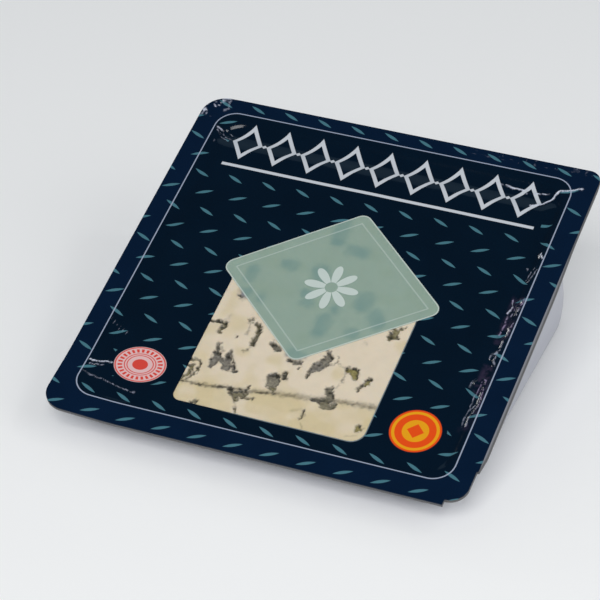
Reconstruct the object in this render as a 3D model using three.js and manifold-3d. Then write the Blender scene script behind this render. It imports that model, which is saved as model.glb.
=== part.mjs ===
// A sealed retail pack of blue cheese: a square film lid over a white formed tray that is shallow
// at one end and deep at the other, so that it holds a wedge. The pack lies on its sloping back,
// which is level here at z = 0, with the thin end toward -Y and the right side toward +X.
// Lengths are in millimetres.
import * as THREE from 'three';
import { mergeVertices } from 'three/addons/utils/BufferGeometryUtils.js';
import Module from 'manifold-3d';

const wasm = await Module();
wasm.setup();

// Driving dimensions of the lid, in its own plane: x to the right, y toward the deep end
const LID_WIDTH = 130;
const LID_LENGTH = 131;
const FILM_THICKNESS = 0.3;
const LID_TILT = THREE.MathUtils.degToRad(17);
const CORNER = { frontLeft: 7, frontRight: 5.5, heelRight: 4, heelLeft: 7.5 };
// The front right corner is stepped in for peeling: how far in, and where the steps are
const PEEL = { stepX: 59, insetY: 1.8, stepY: -52, insetX: 0.5 };

// Driving dimensions of the tray. Depths are measured square to the lid.
const CENTRE_DEPTH = 29;
const SKIN = 0.8;
const FLANGE_THICKNESS = 0.7;
const FLANGE_WIDTH = 4.2;
const SIDE_DRAFT = THREE.MathUtils.degToRad(2);
const FRONT_DRAFT = THREE.MathUtils.degToRad(6);
const FLOOR_CORNER = 11;
const FLANGE_CORNER = 15;
const HEEL_WALL = 49;
const SHOULDER_DEPTH = 17;
const EDGE_ROUND = 2.5;
const FRONT_ROUND = 4;
const NOSE_ROUND = 9;

// The cheese: the height of the wheel runs along x, and its radius along y
const GAP = 0.3;
const CHEESE_HALF_WIDTH = 50;
const CHEESE_FRONT = -52.5;
const CHEESE_RADIUS = 97;
const CHEESE_EDGE = 1;

// Mould pockets open at the cut face: centre, length, width and turn in degrees
const POCKET_DEPTH = 1.2;
const POCKETS = [
  { x: -24, y: -22, length: 8, width: 1.8, turn: -85 },
  { x: -13.4, y: -23.5, length: 9, width: 1.8, turn: -84 },
  { x: -21.8, y: -34.4, length: 7, width: 3.2, turn: -80 },
  { x: -17.6, y: -34.8, length: 6.5, width: 3.2, turn: -72 },
  { x: -27.4, y: -41, length: 6.5, width: 2.6, turn: 85 },
  { x: -10.8, y: -46, length: 5.5, width: 2.4, turn: -38 },
  { x: -6.5, y: -25.7, length: 4, width: 1.8, turn: -30 },
  { x: -2.4, y: -37.9, length: 5.8, width: 4, turn: 80 },
  { x: 10, y: -26.8, length: 6, width: 3, turn: 70 },
  { x: 8.2, y: -29.8, length: 4.5, width: 2.6, turn: 50 },
  { x: 18.8, y: -28.4, length: 4.2, width: 2.6, turn: -20 },
  { x: 23.8, y: -32, length: 4.2, width: 1.8, turn: 55 },
  { x: 15.8, y: -41.2, length: 5.5, width: 3.2, turn: -70 },
  { x: 25.4, y: -11.8, length: 4, width: 2.4, turn: 75 },
];
// The needle that let air into the wheel left a track across the face
const TRACK = { x: 0, y: -42, radius: 0.6, slope: 6.4 };

// The film sinks into the gaps round the cheese: greatest depths of those troughs
const SIDE_SAG = 0.7;
const HEEL_SAG = 1.5;
const FRONT_SAG = 0.4;
// Distances inside the wall where the film leaves its level and where it has its whole depth
const SEAL_EDGE = 2;
const WALL_FADE = 5;

// The clear window and the diamond printed over its top. The diamond's lower tip is a little askew.
const WINDOW = { left: -28.8, right: 29.9, bottom: -52.1, top: 0, leftCorner: 2.5, rightCorner: 4.2 };
const DIAMOND = {
  x: 1.2, y: 0.2, halfWidth: 35.4, upperHeight: 30.6, lowerTip: { x: 0.2, y: -29.5 }, corner: 3,
};

// Finishes
const TRAY_PLASTIC = { color: 0xe6e7ea, roughness: 0.4, opacity: 1 };
const CREAMY_CHEESE = { color: 0xdccfb2, roughness: 0.6, opacity: 1 };
const NAVY_PRINT = { color: 0x07203f, roughness: 0.3, opacity: 1 };
const CLEAR_FILM = { color: 0xdfe6ea, roughness: 0.15, opacity: 0.3 };
const MINT_PRINT = { color: 0x8fab9c, roughness: 0.35, opacity: 0.85 };

// How far cutting bodies reach past what they cut
const CUT_REACH = 20;

// Values that follow from the driving dimensions
const CENTRE_HEIGHT = CENTRE_DEPTH * Math.cos(LID_TILT);
const FLANGE_TOP = -FILM_THICKNESS - GAP;
const FLANGE_UNDERSIDE = FLANGE_TOP - FLANGE_THICKNESS;
const POCKET_HALF_WIDTH = LID_WIDTH / 2 - FLANGE_WIDTH;
const POCKET_HALF_LENGTH = LID_LENGTH / 2 - FLANGE_WIDTH;
// The flange's lower heel edge reaches furthest back, and the lid's front edge furthest forward
const CENTRE_Y = FLANGE_UNDERSIDE * Math.sin(LID_TILT) / 2;

// Places a shape made in the lid's own frame
const LID_PLACE = new THREE.Matrix4()
  .makeTranslation(0, CENTRE_Y, CENTRE_HEIGHT)
  .multiply(new THREE.Matrix4().makeRotationX(LID_TILT));

// Height and Y, in the resting frame, of a point of the lid's frame with x = 0
function rested(y, z) {
  return {
    y: CENTRE_Y + y * Math.cos(LID_TILT) - z * Math.sin(LID_TILT),
    z: CENTRE_HEIGHT + y * Math.sin(LID_TILT) + z * Math.cos(LID_TILT),
  };
}

// How far below the lid's plane a point of the resting frame lies
function depthBelowLid(y, z) {
  const aboveCentre = z - CENTRE_HEIGHT;
  return (y - CENTRE_Y) * Math.sin(LID_TILT) - aboveCentre * Math.cos(LID_TILT);
}

function smoothStep(value, from, to) {
  return THREE.MathUtils.smoothstep(value, from, to);
}

// Turns a closed geometry into a manifold-3d solid
function solidOf(geometry) {
  const bare = geometry.clone();
  bare.deleteAttribute('normal');
  bare.deleteAttribute('uv');
  const merged = mergeVertices(bare, 1e-4);
  return new wasm.Manifold(new wasm.Mesh({
    numProp: 3,
    vertProperties: new Float32Array(merged.attributes.position.array),
    triVerts: new Uint32Array(merged.index.array),
  }));
}

// Turns a manifold-3d solid back into a geometry
function geometryOf(solid) {
  const mesh = solid.getMesh();
  const geometry = new THREE.BufferGeometry();
  geometry.setAttribute('position', new THREE.BufferAttribute(new Float32Array(mesh.vertProperties), 3));
  geometry.setIndex(new THREE.BufferAttribute(new Uint32Array(mesh.triVerts), 1));
  geometry.computeVertexNormals();
  return geometry;
}

function namedMesh(name, geometry, { color, roughness, opacity }) {
  const material = new THREE.MeshStandardMaterial({ color, roughness, metalness: 0 });
  material.transparent = opacity < 1;
  material.opacity = opacity;
  const mesh = new THREE.Mesh(geometry, material);
  mesh.name = name;
  return mesh;
}

// A shape extruded from z = bottom to z = top
function plate(shape, bottom, top, curveSegments = 6) {
  const geometry = new THREE.ExtrudeGeometry(shape, {
    depth: top - bottom,
    bevelEnabled: false,
    curveSegments,
  });
  geometry.translate(0, 0, bottom);
  return geometry;
}

// Outline of the lid and the flange, with a radius of its own at each corner
function lidOutline() {
  const halfWidth = LID_WIDTH / 2;
  const halfLength = LID_LENGTH / 2;
  const { frontLeft, frontRight, heelRight, heelLeft } = CORNER;
  const quarter = Math.PI / 2;
  const peelX = halfWidth - PEEL.insetX - frontRight;
  const peelY = -halfLength + PEEL.insetY + frontRight;
  const shape = new THREE.Shape();
  shape.moveTo(-halfWidth + frontLeft, -halfLength);
  shape.lineTo(PEEL.stepX, -halfLength);
  shape.lineTo(PEEL.stepX, -halfLength + PEEL.insetY);
  shape.absarc(peelX, peelY, frontRight, -quarter, 0);
  shape.lineTo(halfWidth - PEEL.insetX, PEEL.stepY);
  shape.lineTo(halfWidth, PEEL.stepY);
  shape.lineTo(halfWidth, halfLength - heelRight);
  shape.absarc(halfWidth - heelRight, halfLength - heelRight, heelRight, 0, quarter);
  shape.lineTo(-halfWidth + heelLeft, halfLength);
  shape.absarc(-halfWidth + heelLeft, halfLength - heelLeft, heelLeft, quarter, 2 * quarter);
  shape.lineTo(-halfWidth, -halfLength + frontLeft);
  shape.absarc(-halfWidth + frontLeft, -halfLength + frontLeft, frontLeft, 2 * quarter, 3 * quarter);
  return shape;
}

// The window's rectangle with rounded lower corners, grown on every side by a gap
function windowOutline(grow) {
  const { left, right, bottom, top, leftCorner, rightCorner } = WINDOW;
  const shape = new THREE.Shape();
  shape.moveTo(left - grow, top);
  shape.lineTo(left - grow, bottom + leftCorner);
  shape.absarc(left + leftCorner, bottom + leftCorner, leftCorner + grow, Math.PI, 1.5 * Math.PI);
  shape.absarc(right - rightCorner, bottom + rightCorner, rightCorner + grow, 1.5 * Math.PI, 2 * Math.PI);
  shape.lineTo(right + grow, top);
  return shape;
}

// The direction square to a side, out of an outline that runs anticlockwise
function outward(from, to) {
  return new THREE.Vector2(to.y - from.y, from.x - to.x).normalize();
}

// The diamond with rounded tips, grown on every side by a gap
function diamondOutline(grow) {
  const { x, y, halfWidth, upperHeight, lowerTip, corner } = DIAMOND;
  const tips = [
    new THREE.Vector2(x + halfWidth, y),
    new THREE.Vector2(x, y + upperHeight),
    new THREE.Vector2(x - halfWidth, y),
    new THREE.Vector2(lowerTip.x, lowerTip.y),
  ];
  const shape = new THREE.Shape();
  tips.forEach((tip, index) => {
    const before = outward(tips[(index + 3) % tips.length], tip);
    const after = outward(tip, tips[(index + 1) % tips.length]);
    // The arc's centre lies a corner's radius inside both sides that meet at the tip
    const centre = before.clone().add(after).multiplyScalar(-corner / (1 + before.dot(after))).add(tip);
    shape.absarc(centre.x, centre.y, corner + grow, before.angle(), after.angle());
  });
  return shape;
}

// A horizontal ring of the pocket: a rectangle with rounded corners, narrowed by the side draft
function pocketRing(halfWidth, front, heel, corner, z) {
  const stepsPerCorner = 6;
  const points = [];
  const corners = [
    { x: 1, y: heel - corner, start: 0 },
    { x: -1, y: heel - corner, start: 0.5 * Math.PI },
    { x: -1, y: front + corner, start: Math.PI },
    { x: 1, y: front + corner, start: 1.5 * Math.PI },
  ];
  for (const { x, y, start } of corners) {
    for (let step = 0; step <= stepsPerCorner; step += 1) {
      const angle = start + (step / stepsPerCorner) * Math.PI / 2;
      const py = y + corner * Math.sin(angle);
      const px = x * (halfWidth - corner) + corner * Math.cos(angle);
      const narrowing = 1 - depthBelowLid(py, z) * Math.tan(SIDE_DRAFT) / halfWidth;
      points.push(new THREE.Vector3(px * narrowing, py, z));
    }
  }
  return points;
}

// Joins rings of equal length into a closed solid with a flat cap at each end
function loft(rings) {
  const count = rings[0].length;
  const positions = rings.flat().flatMap((point) => [point.x, point.y, point.z]);
  const indices = [];
  for (let ring = 0; ring + 1 < rings.length; ring += 1) {
    for (let step = 0; step < count; step += 1) {
      const next = (step + 1) % count;
      const a = ring * count + step;
      const b = ring * count + next;
      indices.push(a, b, b + count);
      indices.push(a, b + count, a + count);
    }
  }
  const last = (rings.length - 1) * count;
  for (let step = 1; step + 1 < count; step += 1) {
    indices.push(0, step + 1, step);
    indices.push(last, last + step, last + step + 1);
  }
  const geometry = new THREE.BufferGeometry();
  geometry.setAttribute('position', new THREE.Float32BufferAttribute(positions, 3));
  geometry.setIndex(indices);
  return geometry;
}

// How far a rounded edge pulls a wall in at a height above the floor
function edgeInset(height, radius) {
  const below = Math.max(radius - height, 0);
  return radius - Math.sqrt(radius * radius - below * below);
}

// The heel wall's distance from the lid's centre line at a depth: a shoulder, then a straight wall
function heelWall(depth) {
  const shoulder = 1 - smoothStep(depth, 0, SHOULDER_DEPTH);
  return HEEL_WALL + (POCKET_HALF_LENGTH - HEEL_WALL) * shoulder;
}

// Y of the heel wall at a height above the floor, found by halving, as height falls with depth
function heelAt(height) {
  const passes = 40;
  let upper = -CUT_REACH;
  let lower = 2 * CENTRE_DEPTH;
  for (let pass = 0; pass < passes; pass += 1) {
    const middle = (upper + lower) / 2;
    if (rested(heelWall(middle), -middle).z > height) upper = middle;
    else lower = middle;
  }
  return rested(heelWall(upper), -upper).y;
}

// The heel with its rounded nose, where the leaning wall turns into the flat back
function heelWithNose(height, radius) {
  const reach = radius * (1 + Math.sin(LID_TILT));
  if (height >= reach) return heelAt(height);
  const lean = (radius + radius * Math.sin(LID_TILT)) / Math.cos(LID_TILT);
  const foot = heelAt(reach) + reach * Math.tan(LID_TILT);
  const centre = foot - lean;
  return centre + Math.sqrt(radius * radius - (height - radius) ** 2);
}

// Y of the thin end's wall at a height above the floor
function frontAt(height) {
  const foot = rested(-POCKET_HALF_LENGTH, 0);
  return foot.y + (foot.z - height) * Math.tan(FRONT_DRAFT + LID_TILT);
}

// Heights of the pocket's rings: close together round its lower edges, then in even steps past the lid
function ringLevels() {
  const roundLevels = [0, 0.08, 0.3, 0.62, 1].map((share) => share * EDGE_ROUND);
  const noseLevels = [0.45, 0.65, 0.9, 1.1, 1.29].map((share) => share * NOSE_ROUND);
  const wallStep = 4;
  const wallSteps = 12;
  const wallStart = Math.ceil(Math.max(...noseLevels)) + wallStep;
  const wallLevels = Array.from({ length: wallSteps }, (_, step) => wallStart + step * wallStep);
  return [...roundLevels, ...noseLevels, ...wallLevels];
}

// The pocket's outer form, or with an inset the space inside its skin. It runs up past the lid.
function pocket(inset) {
  const rings = ringLevels().map((level) => {
    const sidePull = edgeInset(level, EDGE_ROUND) + inset;
    const frontPull = edgeInset(level, FRONT_ROUND) + inset;
    const halfWidth = POCKET_HALF_WIDTH - sidePull;
    const heel = heelWithNose(level, NOSE_ROUND) - inset;
    const corner = FLOOR_CORNER + (FLANGE_CORNER - FLOOR_CORNER) * Math.min(level / CENTRE_HEIGHT, 1);
    return pocketRing(halfWidth, frontAt(level) + frontPull, heel, corner - inset, level + inset);
  });
  return solidOf(loft(rings));
}

// A slab in the lid's frame that reaches past the pack, to cut or keep what lies between two heights
function lidSlab(bottom, top) {
  const reach = 200;
  const box = new THREE.BoxGeometry(reach, reach, top - bottom);
  box.translate(0, 0, (top + bottom) / 2);
  box.applyMatrix4(LID_PLACE);
  return solidOf(box);
}

// The formed tray: an open pocket whose wall runs up into the flange
function tray() {
  const below = lidSlab(-3 * CENTRE_DEPTH, FLANGE_TOP - FLANGE_THICKNESS / 2);
  const flange = solidOf(plate(lidOutline(), FLANGE_UNDERSIDE, FLANGE_TOP).applyMatrix4(LID_PLACE));
  const outside = pocket(0).intersect(below).add(flange);
  return namedMesh('tray', geometryOf(outside.subtract(pocket(SKIN))), TRAY_PLASTIC);
}

// The side view of the wedge in the resting frame: two flat cut faces and the arc of the rind
function wedgeOutline() {
  const top = FLANGE_TOP - CHEESE_EDGE;
  const floor = SKIN + GAP + CHEESE_EDGE;
  const tip = rested(CHEESE_FRONT + CHEESE_EDGE, top);
  const heel = rested(CHEESE_FRONT + CHEESE_RADIUS - CHEESE_EDGE, top);
  // The rind is an arc about the point where the two cut faces would meet
  const meetY = tip.y - (tip.z - floor) / Math.tan(LID_TILT);
  const reach = Math.hypot(heel.y - meetY, heel.z - floor);
  const steps = 8;
  const shape = new THREE.Shape();
  shape.moveTo(tip.y, floor);
  for (let step = 0; step <= steps; step += 1) {
    const angle = LID_TILT * step / steps;
    shape.lineTo(meetY + reach * Math.cos(angle), floor + reach * Math.sin(angle));
  }
  shape.lineTo(tip.y, tip.z);
  return shape;
}

// A faceted lens-shaped pit, half sunk into the cut face
function mouldPocket({ x, y, length, width, turn }) {
  const lens = new THREE.IcosahedronGeometry(1, 1);
  lens.scale(length / 2, width / 2, POCKET_DEPTH);
  lens.rotateZ(THREE.MathUtils.degToRad(turn));
  lens.translate(x, y, FLANGE_TOP);
  return lens.applyMatrix4(LID_PLACE);
}

// A thin round bar, half sunk into the cut face, that runs past both sides of the wedge
function needleTrack() {
  const sides = 8;
  const bar = new THREE.CylinderGeometry(TRACK.radius, TRACK.radius, 3 * CHEESE_HALF_WIDTH, sides);
  bar.rotateZ(Math.PI / 2 + THREE.MathUtils.degToRad(TRACK.slope));
  bar.translate(TRACK.x, TRACK.y, FLANGE_TOP);
  return bar.applyMatrix4(LID_PLACE);
}

// The wedge with its softened edges, less the pits in its upper cut face
function cheeseWedge() {
  const geometry = new THREE.ExtrudeGeometry(wedgeOutline(), {
    depth: 2 * (CHEESE_HALF_WIDTH - CHEESE_EDGE),
    bevelThickness: CHEESE_EDGE,
    bevelSize: CHEESE_EDGE,
    bevelSegments: 2,
  });
  geometry.translate(0, 0, -(CHEESE_HALF_WIDTH - CHEESE_EDGE));
  // The outline's x and y become Y and Z, and the extrusion runs along X
  geometry.applyMatrix4(new THREE.Matrix4().makeBasis(
    new THREE.Vector3(0, 1, 0),
    new THREE.Vector3(0, 0, 1),
    new THREE.Vector3(1, 0, 0),
  ));
  let wedge = solidOf(geometry);
  for (const pit of [...POCKETS.map(mouldPocket), needleTrack()]) wedge = wedge.subtract(solidOf(pit));
  return namedMesh('cheese_wedge', geometryOf(wedge), CREAMY_CHEESE);
}

// A trough between two edges, deepest half way
function trough(value, from, to) {
  const share = THREE.MathUtils.clamp((value - from) / (to - from), 0, 1);
  return Math.sin(Math.PI * share) ** 2;
}

// Distance from a point of the lid to the pocket's wall, positive inside
function insideWall(x, y) {
  const corner = FLANGE_CORNER - SKIN;
  const beyondX = Math.abs(x) - (POCKET_HALF_WIDTH - SKIN - corner);
  const beyondY = Math.abs(y) - (POCKET_HALF_LENGTH - SKIN - corner);
  const round = Math.hypot(Math.max(beyondX, 0), Math.max(beyondY, 0));
  return corner - round - Math.min(Math.max(beyondX, beyondY), 0);
}

// How far the film sinks below the lid's plane
function filmSag(x, y) {
  const inner = CHEESE_HALF_WIDTH + CHEESE_EDGE;
  const heelEdge = CHEESE_FRONT + CHEESE_RADIUS;
  const end = POCKET_HALF_LENGTH - SKIN;
  const side = SIDE_SAG * trough(Math.abs(x), inner, POCKET_HALF_WIDTH - SKIN);
  const heel = HEEL_SAG * trough(y, heelEdge, end);
  const front = FRONT_SAG * trough(-y, -CHEESE_FRONT, end);
  return Math.max(side, heel, front) * smoothStep(insideWall(x, y), SEAL_EDGE, WALL_FADE);
}

// Grid lines close together over the troughs and far apart where the film is flat
function gridLines(from, to, edge) {
  const fractions = [0, 0.25, 0.5, 0.75, 1];
  const across = fractions.map((share) => from + (to - from) * share);
  return [...across, edge];
}

// The film as a thin slab on that grid, reaching a little past its outline
function filmSlab() {
  const wall = POCKET_HALF_WIDTH - SKIN;
  const end = POCKET_HALF_LENGTH - SKIN;
  const past = LID_LENGTH / 2 + SKIN;
  const right = gridLines(CHEESE_HALF_WIDTH + CHEESE_EDGE, wall, past);
  const heel = gridLines(CHEESE_FRONT + CHEESE_RADIUS, end, past);
  const front = gridLines(-CHEESE_FRONT, end, past);
  const xs = [...right.map((x) => -x).reverse(), ...right];
  const ys = [...front.map((y) => -y).reverse(), ...heel];
  const positions = [];
  for (const drop of [FILM_THICKNESS, 0]) {
    for (const y of ys) {
      for (const x of xs) positions.push(x, y, -filmSag(x, y) - drop);
    }
  }
  const layer = xs.length * ys.length;
  const at = (column, row, top) => top * layer + row * xs.length + column;
  const indices = [];
  for (let row = 0; row + 1 < ys.length; row += 1) {
    for (let column = 0; column + 1 < xs.length; column += 1) {
      for (const top of [0, 1]) {
        const a = at(column, row, top);
        const b = at(column + 1, row, top);
        const c = at(column + 1, row + 1, top);
        const d = at(column, row + 1, top);
        if (top) indices.push(a, b, c, a, c, d);
        else indices.push(a, c, b, a, d, c);
      }
    }
  }
  const rim = [];
  for (let column = 0; column + 1 < xs.length; column += 1) rim.push([column, 0]);
  for (let row = 0; row + 1 < ys.length; row += 1) rim.push([xs.length - 1, row]);
  for (let column = xs.length - 1; column > 0; column -= 1) rim.push([column, ys.length - 1]);
  for (let row = ys.length - 1; row > 0; row -= 1) rim.push([0, row]);
  rim.forEach(([column, row], step) => {
    const [nextColumn, nextRow] = rim[(step + 1) % rim.length];
    const a = at(column, row, 0);
    const b = at(nextColumn, nextRow, 0);
    indices.push(a, b, b + layer, a, b + layer, a + layer);
  });
  const geometry = new THREE.BufferGeometry();
  geometry.setAttribute('position', new THREE.Float32BufferAttribute(positions, 3));
  geometry.setIndex(indices);
  return geometry;
}

// The printed film, open where the window and the diamond are
function lidFilm() {
  const outline = solidOf(plate(lidOutline(), -CUT_REACH, CUT_REACH));
  const windowHole = solidOf(plate(windowOutline(GAP), -CUT_REACH, CUT_REACH));
  const diamondHole = solidOf(plate(diamondOutline(GAP), -CUT_REACH, CUT_REACH));
  const film = solidOf(filmSlab()).intersect(outline).subtract(windowHole).subtract(diamondHole);
  return namedMesh('lid_film', geometryOf(film), NAVY_PRINT);
}

// The clear pane below the diamond
function lidWindow() {
  const pane = solidOf(plate(windowOutline(0), -FILM_THICKNESS, 0));
  const diamondHole = solidOf(plate(diamondOutline(GAP), -CUT_REACH, CUT_REACH));
  return namedMesh('lid_window', geometryOf(pane.subtract(diamondHole)), CLEAR_FILM);
}

// The printed diamond over the window's top
function lidDiamond() {
  return namedMesh('lid_diamond', plate(diamondOutline(0), -FILM_THICKNESS, 0), MINT_PRINT);
}

const lid = new THREE.Group();
lid.position.set(0, CENTRE_Y, CENTRE_HEIGHT);
lid.rotation.x = LID_TILT;
lid.add(lidFilm(), lidWindow(), lidDiamond());

const pack = new THREE.Group();
pack.name = 'blue_cheese_pack';
pack.add(tray(), cheeseWedge(), lid);

export default pack;
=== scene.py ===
"""A sealed retail pack of blue cheese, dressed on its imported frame.

The tray lies on its sloping back, so the lid rises toward the deep end. Shapes are worked out in the
lid's own frame (x to the right, y toward the deep end, z out of the lid) and then laid on the tray.
"""
import math

import bmesh
import bpy
import numpy as np
from mathutils import Matrix, Vector


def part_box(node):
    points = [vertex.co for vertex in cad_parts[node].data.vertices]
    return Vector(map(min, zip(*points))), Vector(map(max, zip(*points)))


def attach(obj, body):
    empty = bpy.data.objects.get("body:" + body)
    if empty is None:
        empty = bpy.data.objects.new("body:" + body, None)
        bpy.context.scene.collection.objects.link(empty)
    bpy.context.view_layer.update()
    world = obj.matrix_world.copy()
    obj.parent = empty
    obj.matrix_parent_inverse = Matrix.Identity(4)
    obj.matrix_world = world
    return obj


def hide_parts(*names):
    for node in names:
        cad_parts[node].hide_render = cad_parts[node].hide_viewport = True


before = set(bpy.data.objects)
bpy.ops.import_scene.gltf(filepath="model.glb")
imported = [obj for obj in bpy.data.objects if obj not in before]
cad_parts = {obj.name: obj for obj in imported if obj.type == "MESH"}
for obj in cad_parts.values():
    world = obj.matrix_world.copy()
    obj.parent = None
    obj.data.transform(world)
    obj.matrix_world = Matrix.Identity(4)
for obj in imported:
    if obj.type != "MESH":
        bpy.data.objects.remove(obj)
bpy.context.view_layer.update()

MM = 0.001

# Driving sizes, the same as the solids'
LID_WIDTH = 130 * MM
LID_LENGTH = 131 * MM
LID_TILT = math.radians(17)
CORNER = {"front_left": 7 * MM, "front_right": 5.5 * MM, "heel_right": 4 * MM, "heel_left": 7.5 * MM}
PEEL = {"step_x": 59 * MM, "inset_y": 1.8 * MM, "step_y": -52 * MM, "inset_x": 0.5 * MM}
WINDOW = {"left": -28.8 * MM, "right": 29.9 * MM, "bottom": -52.1 * MM}
WINDOW_CORNER = {"left": 2.5 * MM, "right": 4.2 * MM}
DIAMOND = {"x": 1.2 * MM, "y": 0.2 * MM, "half_width": 35.4 * MM, "upper_height": 30.6 * MM, "corner": 3 * MM}
LOWER_TIP = (0.2 * MM, -29.5 * MM)

# The tray. Depths are measured square to the lid, as they are in the solids.
FLANGE_TOP = -0.3 * MM
FLANGE_UNDERSIDE = -1.3 * MM
FLANGE_WIDTH = 4.2 * MM
BARE_STRIP = 0.9 * MM
SKIN = 0.8 * MM
SIDE_DRAFT = math.radians(2)
FRONT_DRAFT = math.radians(6)
FLOOR_CORNER = 11 * MM
FLANGE_CORNER = 15 * MM
HEEL_WALL = 49 * MM
SHOULDER_DEPTH = 17 * MM
EDGE_ROUND = 2.5 * MM
FRONT_ROUND = 4 * MM
NOSE_ROUND = 9 * MM
FLANGE_FILLET = 1.2 * MM
RIM_BEVEL = 0.12 * MM

# Where the bare strip begins, narrows and ends along the flange, and where it begins across it, each as the
# two limits of a slope in millimetres. Then the share of its width that it loses where it narrows.
STRIP_BEGINS, STRIP_NARROWS, STRIP_ENDS, STRIP_OUTSIDE = (-54, -46), (12, 40), (58, 64), (62, 64.5)
STRIP_LOSS = 0.65

# The cheese under the film, its gap to the tray's floor and its clearance to the film
CHEESE_HALF_WIDTH = 50 * MM
CHEESE_FRONT = -52.5 * MM
CHEESE_RADIUS = 97 * MM
CHEESE_EDGE = 1.6 * MM
FLOOR_GAP = 0.3 * MM
CLEARANCE = 0.03 * MM

# The film: thickness, and depths of the troughs where it sinks between the cheese and the wall
FILM = 0.15 * MM
FILM_DROP = 0.1 * MM
LEFT_SAG = 0.35 * MM
RIGHT_SAG = 0.9 * MM
HEEL_SAG = 1.5 * MM
FRONT_SAG = 0.4 * MM
SEAL_EDGE = 2 * MM
WALL_FADE = 5 * MM

# The film's waves, its wrinkles where it is gathered, and the pinches in its seal: height and size
WAVES = {"height": 0.16 * MM, "size": 22 * MM, "fade": 6 * MM}
WRINKLES = {"height": 0.1 * MM, "size": 1.6 * MM}
# The pinches' crease is set high so that their crinkles take the painted highlight
PINCHES = {"height": 0.12 * MM, "size": 1.5 * MM, "drop": 0.1 * MM, "crease": 1.8}
FOLD_BEND = {"way": 0.6 * MM, "size": 2.5 * MM}
SPRUNG_CORNER = {"height": 1.3 * MM, "reach": 26 * MM}

# Values that follow
POCKET_HALF_WIDTH = LID_WIDTH / 2 - FLANGE_WIDTH
POCKET_HALF_LENGTH = LID_LENGTH / 2 - FLANGE_WIDTH
COS, SIN = math.cos(LID_TILT), math.sin(LID_TILT)
LID_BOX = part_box("lid_film")
CENTRE_Y = LID_BOX[0].y + LID_LENGTH / 2 * COS
CENTRE_HEIGHT = LID_BOX[1].z - LID_LENGTH / 2 * SIN
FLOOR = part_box("tray")[0].z


# Numbers on grids

def smooth_step(value, low, high):
    """0 below low, 1 above high, and a smooth cubic rise between them."""
    share = np.clip((value - low) / (high - low), 0, 1)
    return share * share * (3 - 2 * share)


def between(value, rise, fall):
    """1 inside a stretch and 0 outside it, each end given by the two limits of its smooth slope."""
    return smooth_step(value, *rise) * (1 - smooth_step(value, *fall))


def value_noise(x, y, size, seed):
    """Smooth noise from 0 to 1: random values on a square lattice of that cell size, blended between.

    A seed is only a label: each use has its own, so that no two noises are alike.
    """
    cells = 256
    lattice = np.random.default_rng(seed).random((cells, cells))
    u, v = np.asarray(x) / size + 1000, np.asarray(y) / size + 1000
    column, row = np.floor(u).astype(int), np.floor(v).astype(int)
    fu, fv = smooth_step(u - column, 0, 1), smooth_step(v - row, 0, 1)
    left, right = column % cells, (column + 1) % cells
    low, high = row % cells, (row + 1) % cells
    below = lattice[low, left] * (1 - fu) + lattice[low, right] * fu
    above = lattice[high, left] * (1 - fu) + lattice[high, right] * fu
    return below * (1 - fv) + above * fv


def layered_noise(x, y, size, seed, layers=3):
    """Value noise summed over layers, each half as large and half as strong, centred on 0."""
    total = np.zeros_like(np.asarray(x, float))
    strength = 1.0
    for layer in range(layers):
        total += strength * (value_noise(x, y, size / 2 ** layer, seed + layer) - 0.5)
        strength /= 2
    return total


def trough(value, low, high):
    """A rounded dip between two edges: the squared sine of the share of the way across."""
    return np.sin(math.pi * np.clip((value - low) / (high - low), 0, 1)) ** 2


def spaced(stops, steps):
    """Grid lines that run evenly between each pair of stops, with that many steps in each stretch."""
    parts = [np.linspace(a, b, n, endpoint=False) for a, b, n in zip(stops, stops[1:], steps)]
    return np.concatenate(parts + [[stops[-1]]])


# Making meshes

SHARP_ANGLE = math.radians(60)


def in_pack(x, y, z):
    """Points of the lid's frame laid on the pack: turned about X by its tilt and lifted to its centre."""
    x, y, z = np.broadcast_arrays(x, y, z)
    points = [x, CENTRE_Y + y * COS - z * SIN, CENTRE_HEIGHT + y * SIN + z * COS]
    return np.stack(points, -1)


def grid_faces(rows, columns, closed, flip=False):
    """Quads between neighbouring points of a rows by columns grid, joined round if closed."""
    across = columns if closed else columns - 1
    row, column = np.meshgrid(np.arange(rows - 1), np.arange(across), indexing="ij")
    beside = (column + 1) % columns
    corners = [row * columns + column, row * columns + beside]
    corners += [(row + 1) * columns + beside, (row + 1) * columns + column]
    faces = np.stack(corners, -1).reshape(-1, 4)
    return faces[:, ::-1] if flip else faces


def new_object(name, points, faces, smooth=True):
    """A mesh object from an array of points and a list or array of faces."""
    mesh = bpy.data.meshes.new(name)
    mesh.from_pydata(np.asarray(points).reshape(-1, 3).tolist(), [], [list(map(int, face)) for face in faces])
    mesh.polygons.foreach_set("use_smooth", [smooth] * len(mesh.polygons))
    mesh.update()
    obj = bpy.data.objects.new(name, mesh)
    bpy.context.scene.collection.objects.link(obj)
    return obj


def paint(obj, name, values):
    """Keeps one number for each of the mesh's points as an attribute that a material reads."""
    attribute = obj.data.attributes.new(name, "FLOAT", "POINT")
    attribute.data.foreach_set("value", np.asarray(values, np.float32).ravel())


def close_ends(obj):
    """Fills the open ends of a mesh and turns every face outward."""
    work = bmesh.new()
    work.from_mesh(obj.data)
    bmesh.ops.holes_fill(work, edges=[edge for edge in work.edges if edge.is_boundary], sides=0)
    bmesh.ops.recalc_face_normals(work, faces=work.faces)
    work.to_mesh(obj.data)
    work.free()
    obj.data.polygons.foreach_set("use_smooth", [True] * len(obj.data.polygons))
    obj.data.update()


def finish_piece(obj, material, slot, *nodes):
    """Gives a piece its material and the body that it rides on, and hides the nodes that it stands for. The
    slot is not used.
    """
    obj.data.materials.append(material)
    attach(obj, "root")
    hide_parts(*nodes)
    return obj


# Outlines, with that many points at each corner of the lid and the pocket, and along each side

CORNER_STEPS, SIDE_STEPS = 16, 40


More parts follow.
